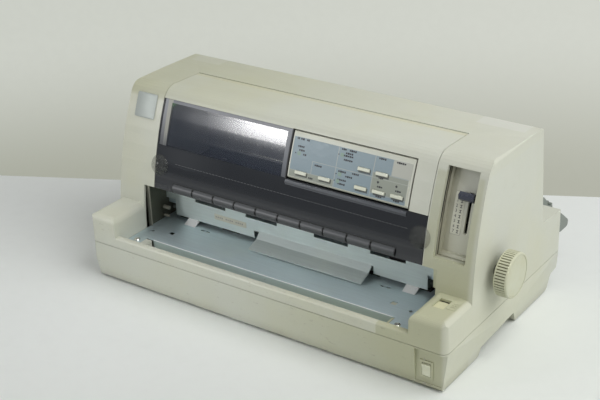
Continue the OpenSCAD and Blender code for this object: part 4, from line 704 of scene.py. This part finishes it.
def scale_plate():
    """The label beside the lever: two columns of marks, numerals left and strokes right."""
    x, z = 198.4, 159.3
    out = 0.02 - RECESS_D
    form = block(11.0, 41.4, 0.25, 1.6, 0.05, cuts=6)
    edge = ring_plate(11.8, 42.2, 0.12, 0.4, 1.9)
    put("scale_edge", on_front(edge, x, z, out), FAINT, "chassis")
    put("scale_plate", on_front(form, x, z, out), LABEL, "chassis")
    marks = []
    for step in range(8):
        height = 17.0 - step * 4.95
        marks.append(on_front(letter(str(step), 4.4), x - 2.3, z + height, out + 0.28))
        for piece in ((2.4, 0.6, 0.0), (2.4, 0.6, 2.3), (0.7, 2.6, 1.15)):
            stroke = block(piece[0], piece[1], 0.04)
            move(stroke, 0, piece[2] - 1.15, 0)
            marks.append(on_front(stroke, x + 2.4, z + height, out + 0.27))
    put("scale_marks", join(*marks), INK, "chassis")


def panel_marks():
    """Plain bars on the overlay where its legends stand, small dots and the lamp windows."""
    bars = [(7.2, 198.0, 3.2), (12.6, 198.2, 5.0), (19.5, 198.3, 3.6), (12.5, 190.2, 8.4),
            (14.0, 186.6, 7.6), (18.3, 182.9, 4.4), (64.5, 198.4, 6.0), (75.4, 198.6, 9.0),
            (71.7, 194.5, 9.5), (71.0, 191.9, 12.0), (71.5, 187.9, 11.0), (37.0, 175.5, 9.5),
            (29.8, 161.4, 6.0), (66.8, 175.9, 10.0), (83.0, 176.6, 8.6), (75.6, 172.3, 9.0),
            (67.8, 167.7, 11.0), (68.0, 163.7, 9.5), (111.0, 197.4, 9.0), (133.0, 197.4, 11.0),
            (113.0, 179.2, 6.0), (113.2, 170.6, 6.6), (134.8, 170.8, 7.0), (113.7, 161.1, 7.6),
            (134.4, 161.2, 7.6)]
    print_out, print_top, sign_width = 0.3, 197.6, 2.3
    forms = []
    for x, z, width in bars:
        # Each legend is a plain row of short bars
        count = max(2, round(width / sign_width))
        step = width / count
        for k in range(count):
            bar = block(step * (0.86 if k % 3 else 0.7), 1.9 if k % 2 else 1.5, 0.05)
            forms.append(on_front(bar, x - width / 2 + step * (k + 0.5), min(z, print_top),
                                  print_out))
    for x, z in ((110.5, 174.8), (132.3, 175.0)):
        forms.append(on_front(move(block(2.1, 2.1, 0.05), turn=(0, 0, math.pi / 4)), x, z,
                              print_out))
    for x, z in ((7.4, 183.1), (59.9, 191.9), (60.6, 172.9), (59.6, 165.9)):
        forms.append(on_front(block(1.2, 1.2, 0.05, 0.4), x - 0.6, z, print_out))
    put("panel_marks", join(*forms), INK, "chassis")
    lamps = [on_front(block(4.2, 3.6, 0.06, 0.4), x, z, print_out)
             for x, z in ((11.2, 183.2), (63.4, 192.0), (64.4, 172.9), (63.2, 165.9))]
    put("panel_lamps", join(*lamps), LAMP, "chassis")


def strip_print():
    """A fine broken line printed along the smoked strip."""
    dashes = []
    x = -151.0
    while x < 149:
        dashes.append(on_front(block(3.4, 0.42, 0.03), x + 1.7, 137.8, 0.02))
        x += 4.4
    put("strip_print", join(*dashes), DASH, "cover")


def guide_label():
    """The label on the guide plate, with plain bars for its legend."""
    x, y, z = -100, 92, 67.1
    form = block(46, 7.1, 0.2, 0.6, 0.04)
    move(form, turn=(math.pi / 2, 0, 0))
    put("guide_label", move(form, x, y, z), LABEL, "chassis")
    bars = []
    for k in range(15):
        if k % 5 != 4:
            bar = move(block(2.0, 2.0 if k % 2 else 1.6, 0.05), turn=(math.pi / 2, 0, 0))
            bars.append(move(bar, x - 20.3 + k * 2.9, y - 0.2, z))
    put("guide_label_bars", join(*bars), FAINT, "chassis")


def icon_box():
    """The embossed sign beside the slider: a frame with a stem and three bars."""
    frame_form = ring_plate(10.4, 18.0, 0.35, 0.8, 1.0)
    bars = [move(block(5.6, 0.9, 0.3, 0.2), 0, k * 3.4, 0.02) for k in (-1, 0, 1)]
    stem = move(block(0.9, 9.0, 0.3, 0.2), 0, 0, 0.02)
    put("slider_sign", move(join(frame_form, stem, *bars), 220.8, 37, ARM_TOP), CASE, "chassis")


def switch_marks():
    """Stroke above the switch and ring below it."""
    x = CASE_R - 36 + 12.5
    stroke = move(block(0.7, 3.0, 0.08), turn=(math.pi / 2, 0, 0))
    move(stroke, x, -0.01, 36.6)
    ring = bmesh.new()
    bmesh.ops.create_circle(ring, segments=24, radius=1.6, cap_ends=False)
    spun = bmesh.ops.extrude_edge_only(ring, edges=ring.edges[:])["geom"]
    bmesh.ops.scale(ring, vec=(0.62, 0.62, 1), verts=[v for v in spun
                                                       if isinstance(v, bmesh.types.BMVert)])
    bmesh.ops.solidify(ring, geom=ring.faces[:], thickness=0.08)
    move(ring, turn=(math.pi / 2, 0, 0))
    move(ring, x, -0.01, 8.4)
    put("switch_marks", join(stroke, ring), FAINT, "chassis")


def rail_strip():
    """Behind the window: a pale strip under the rail's punched holes, standing in for light seen
    through them, and a ridge lower down.
    """
    strip = block(318, 0.5, 15, 0.1, 0.1, side_cuts=9)
    put("rail_strip", move(strip, -4.5, 177.7, 122.6), GEAR, "chassis")
    ridge = block(124, 1.2, 1.5, 0.3, 0.2, side_cuts=5)
    put("rail_ridge", move(ridge, -84, 175.5, 112.8), SCREW, "chassis")


def tray_boss():
    """The case's boss under the right square hole of the tray."""
    form = block(9.4, 9.2, 3.4, 0.8, 0.3)
    put("tray_boss", move(form, 139.4, 57.2, 45.3), CASE, "chassis")


def port_contacts():
    """Two rows of gilt contacts on the tongue of the interface port."""
    rows = []
    for k in range(18):
        for side in (-1, 1):
            pin = block(1.1, 3.6, 0.18, 0.05, 0.05)
            rows.append(move(pin, -77 + (k - 8.5) * 2.9, 257.4,
                             36.0 if side > 0 else 32.82))
    put("port_contacts", join(*rows), BRASS, "chassis")


badge_plate()
scale_plate()
panel_marks()
strip_print()
guide_label()
icon_box()
switch_marks()
rail_strip()
tray_boss()
port_contacts()

# Table, wall, light and camera


def table_top():
    """The white table, out to the far edge that the camera sees."""
    form = bmesh.new()
    corners = [(-2590, -881), (2511, -881), (2511, 1663), (176, 497), (-534, 143)]
    outline = [form.verts.new(spot(x, y, 0)) for x, y in corners]
    form.faces.new(outline)
    mesh = as_mesh("table_top", form)
    table = show("table_top", mesh)
    plan = finish("white_table", IOR=1.4)
    x, y, _ = plan.split(plan.place())
    # Painted shading: the table is lighter to the left and darker to the right
    right = plan.ease(x * 0.8 - y * 0.6, -0.3, 0.7)
    colour = plan.mix(right, (0.86, 0.89, 0.865), (0.725, 0.755, 0.715))
    dust = plan.noise(60, 3)
    colour = plan.mix(plan.ease(dust, 0.4, 0.8, 0, 0.05), colour, (0.6, 0.6, 0.58))
    mesh.materials.append(dress(plan, Base_Color=colour, Roughness=0.5))


def light_box(name, place, aim, width, height, watts, spread=180):
    """A rectangular lamp at a place, aimed at another. spread is in degrees."""
    lamp = bpy.data.lights.new(name, "AREA")
    lamp.shape = "RECTANGLE"
    lamp.size, lamp.size_y = width, height
    lamp.energy = watts
    lamp.spread = math.radians(spread)
    holder = show(name, lamp)
    holder.location = spot(*place)
    holder.rotation_mode = "QUATERNION"
    holder.rotation_quaternion = (spot(*aim) - spot(*place)).to_track_quat("-Z", "Y")
    holder.visible_camera = False


def room():
    """Even light from all round, and the pale wall that the camera and gloss see."""
    world = bpy.data.worlds.new("room")
    bpy.context.scene.world = world
    world.use_nodes = True
    tree = world.node_tree
    plan = Plan(tree)
    back = tree.nodes["Background"]
    out = plan.add("ShaderNodeTexCoord", out="Generated")
    sideways, ahead, height = plan.split(out)
    wall = plan.mix(plan.ease(height, -0.43, -0.31), (0.37, 0.38, 0.315), (0.60, 0.62, 0.565))
    wall = plan.mix(plan.ease(ahead, -0.75, 0.1, 1, 0), wall, (0.22, 0.235, 0.26))
    paper = plan.noise(160, 3, at=out)
    wall = plan.mix(plan.ease(paper, 0.35, 0.65, 0, 0.05), wall, (0.45, 0.46, 0.42))
    path = plan.add("ShaderNodeLightPath").socket.node
    seen = (Wire(plan, path.outputs["Is Camera Ray"]) | Wire(plan, path.outputs["Is Glossy Ray"])
            | Wire(plan, path.outputs["Is Transmission Ray"]))
    wall = plan.mix(plan.ease(sideways, -0.75, -0.3, 0, 0.12), wall, (1.0, 1.0, 0.9))
    plan.feed(back.inputs["Color"], plan.mix(seen, (0.345, 0.345, 0.345), wall))
    back.inputs["Strength"].default_value = 1.0


def camera():
    """The camera as it was fitted to the photograph."""
    place = (730.93, -933.25, 728.97)
    yaw, pitch, roll = (math.radians(angle) for angle in (-35.516, 25.847, -1.785))
    ahead = Vector((math.sin(yaw) * math.cos(pitch), math.cos(yaw) * math.cos(pitch),
                    -math.sin(pitch)))
    right = Vector((math.cos(yaw), -math.sin(yaw), 0))
    up = right.cross(ahead)
    level = math.cos(roll) * right + math.sin(roll) * up
    upright = -math.sin(roll) * right + math.cos(roll) * up
    lens = bpy.data.cameras.new("camera")
    lens.sensor_width = 36
    lens.lens = 77.02
    holder = show("camera", lens)
    turn = Matrix((level, upright, -ahead)).transposed()
    holder.matrix_world = Matrix.Translation(spot(*place)) @ turn.to_4x4()
    bpy.context.scene.camera = holder
    bpy.context.scene.view_settings.view_transform = "Standard"


table_top()
light_box("soft_box", (1130, 170, 1450), (0, 150, 100), 1.6, 1.6, 24)
light_box("window_light", (-990, -1325, 715), (-70, 60, 130), 0.22, 0.34, 0.21, spread=24)
room()
camera()
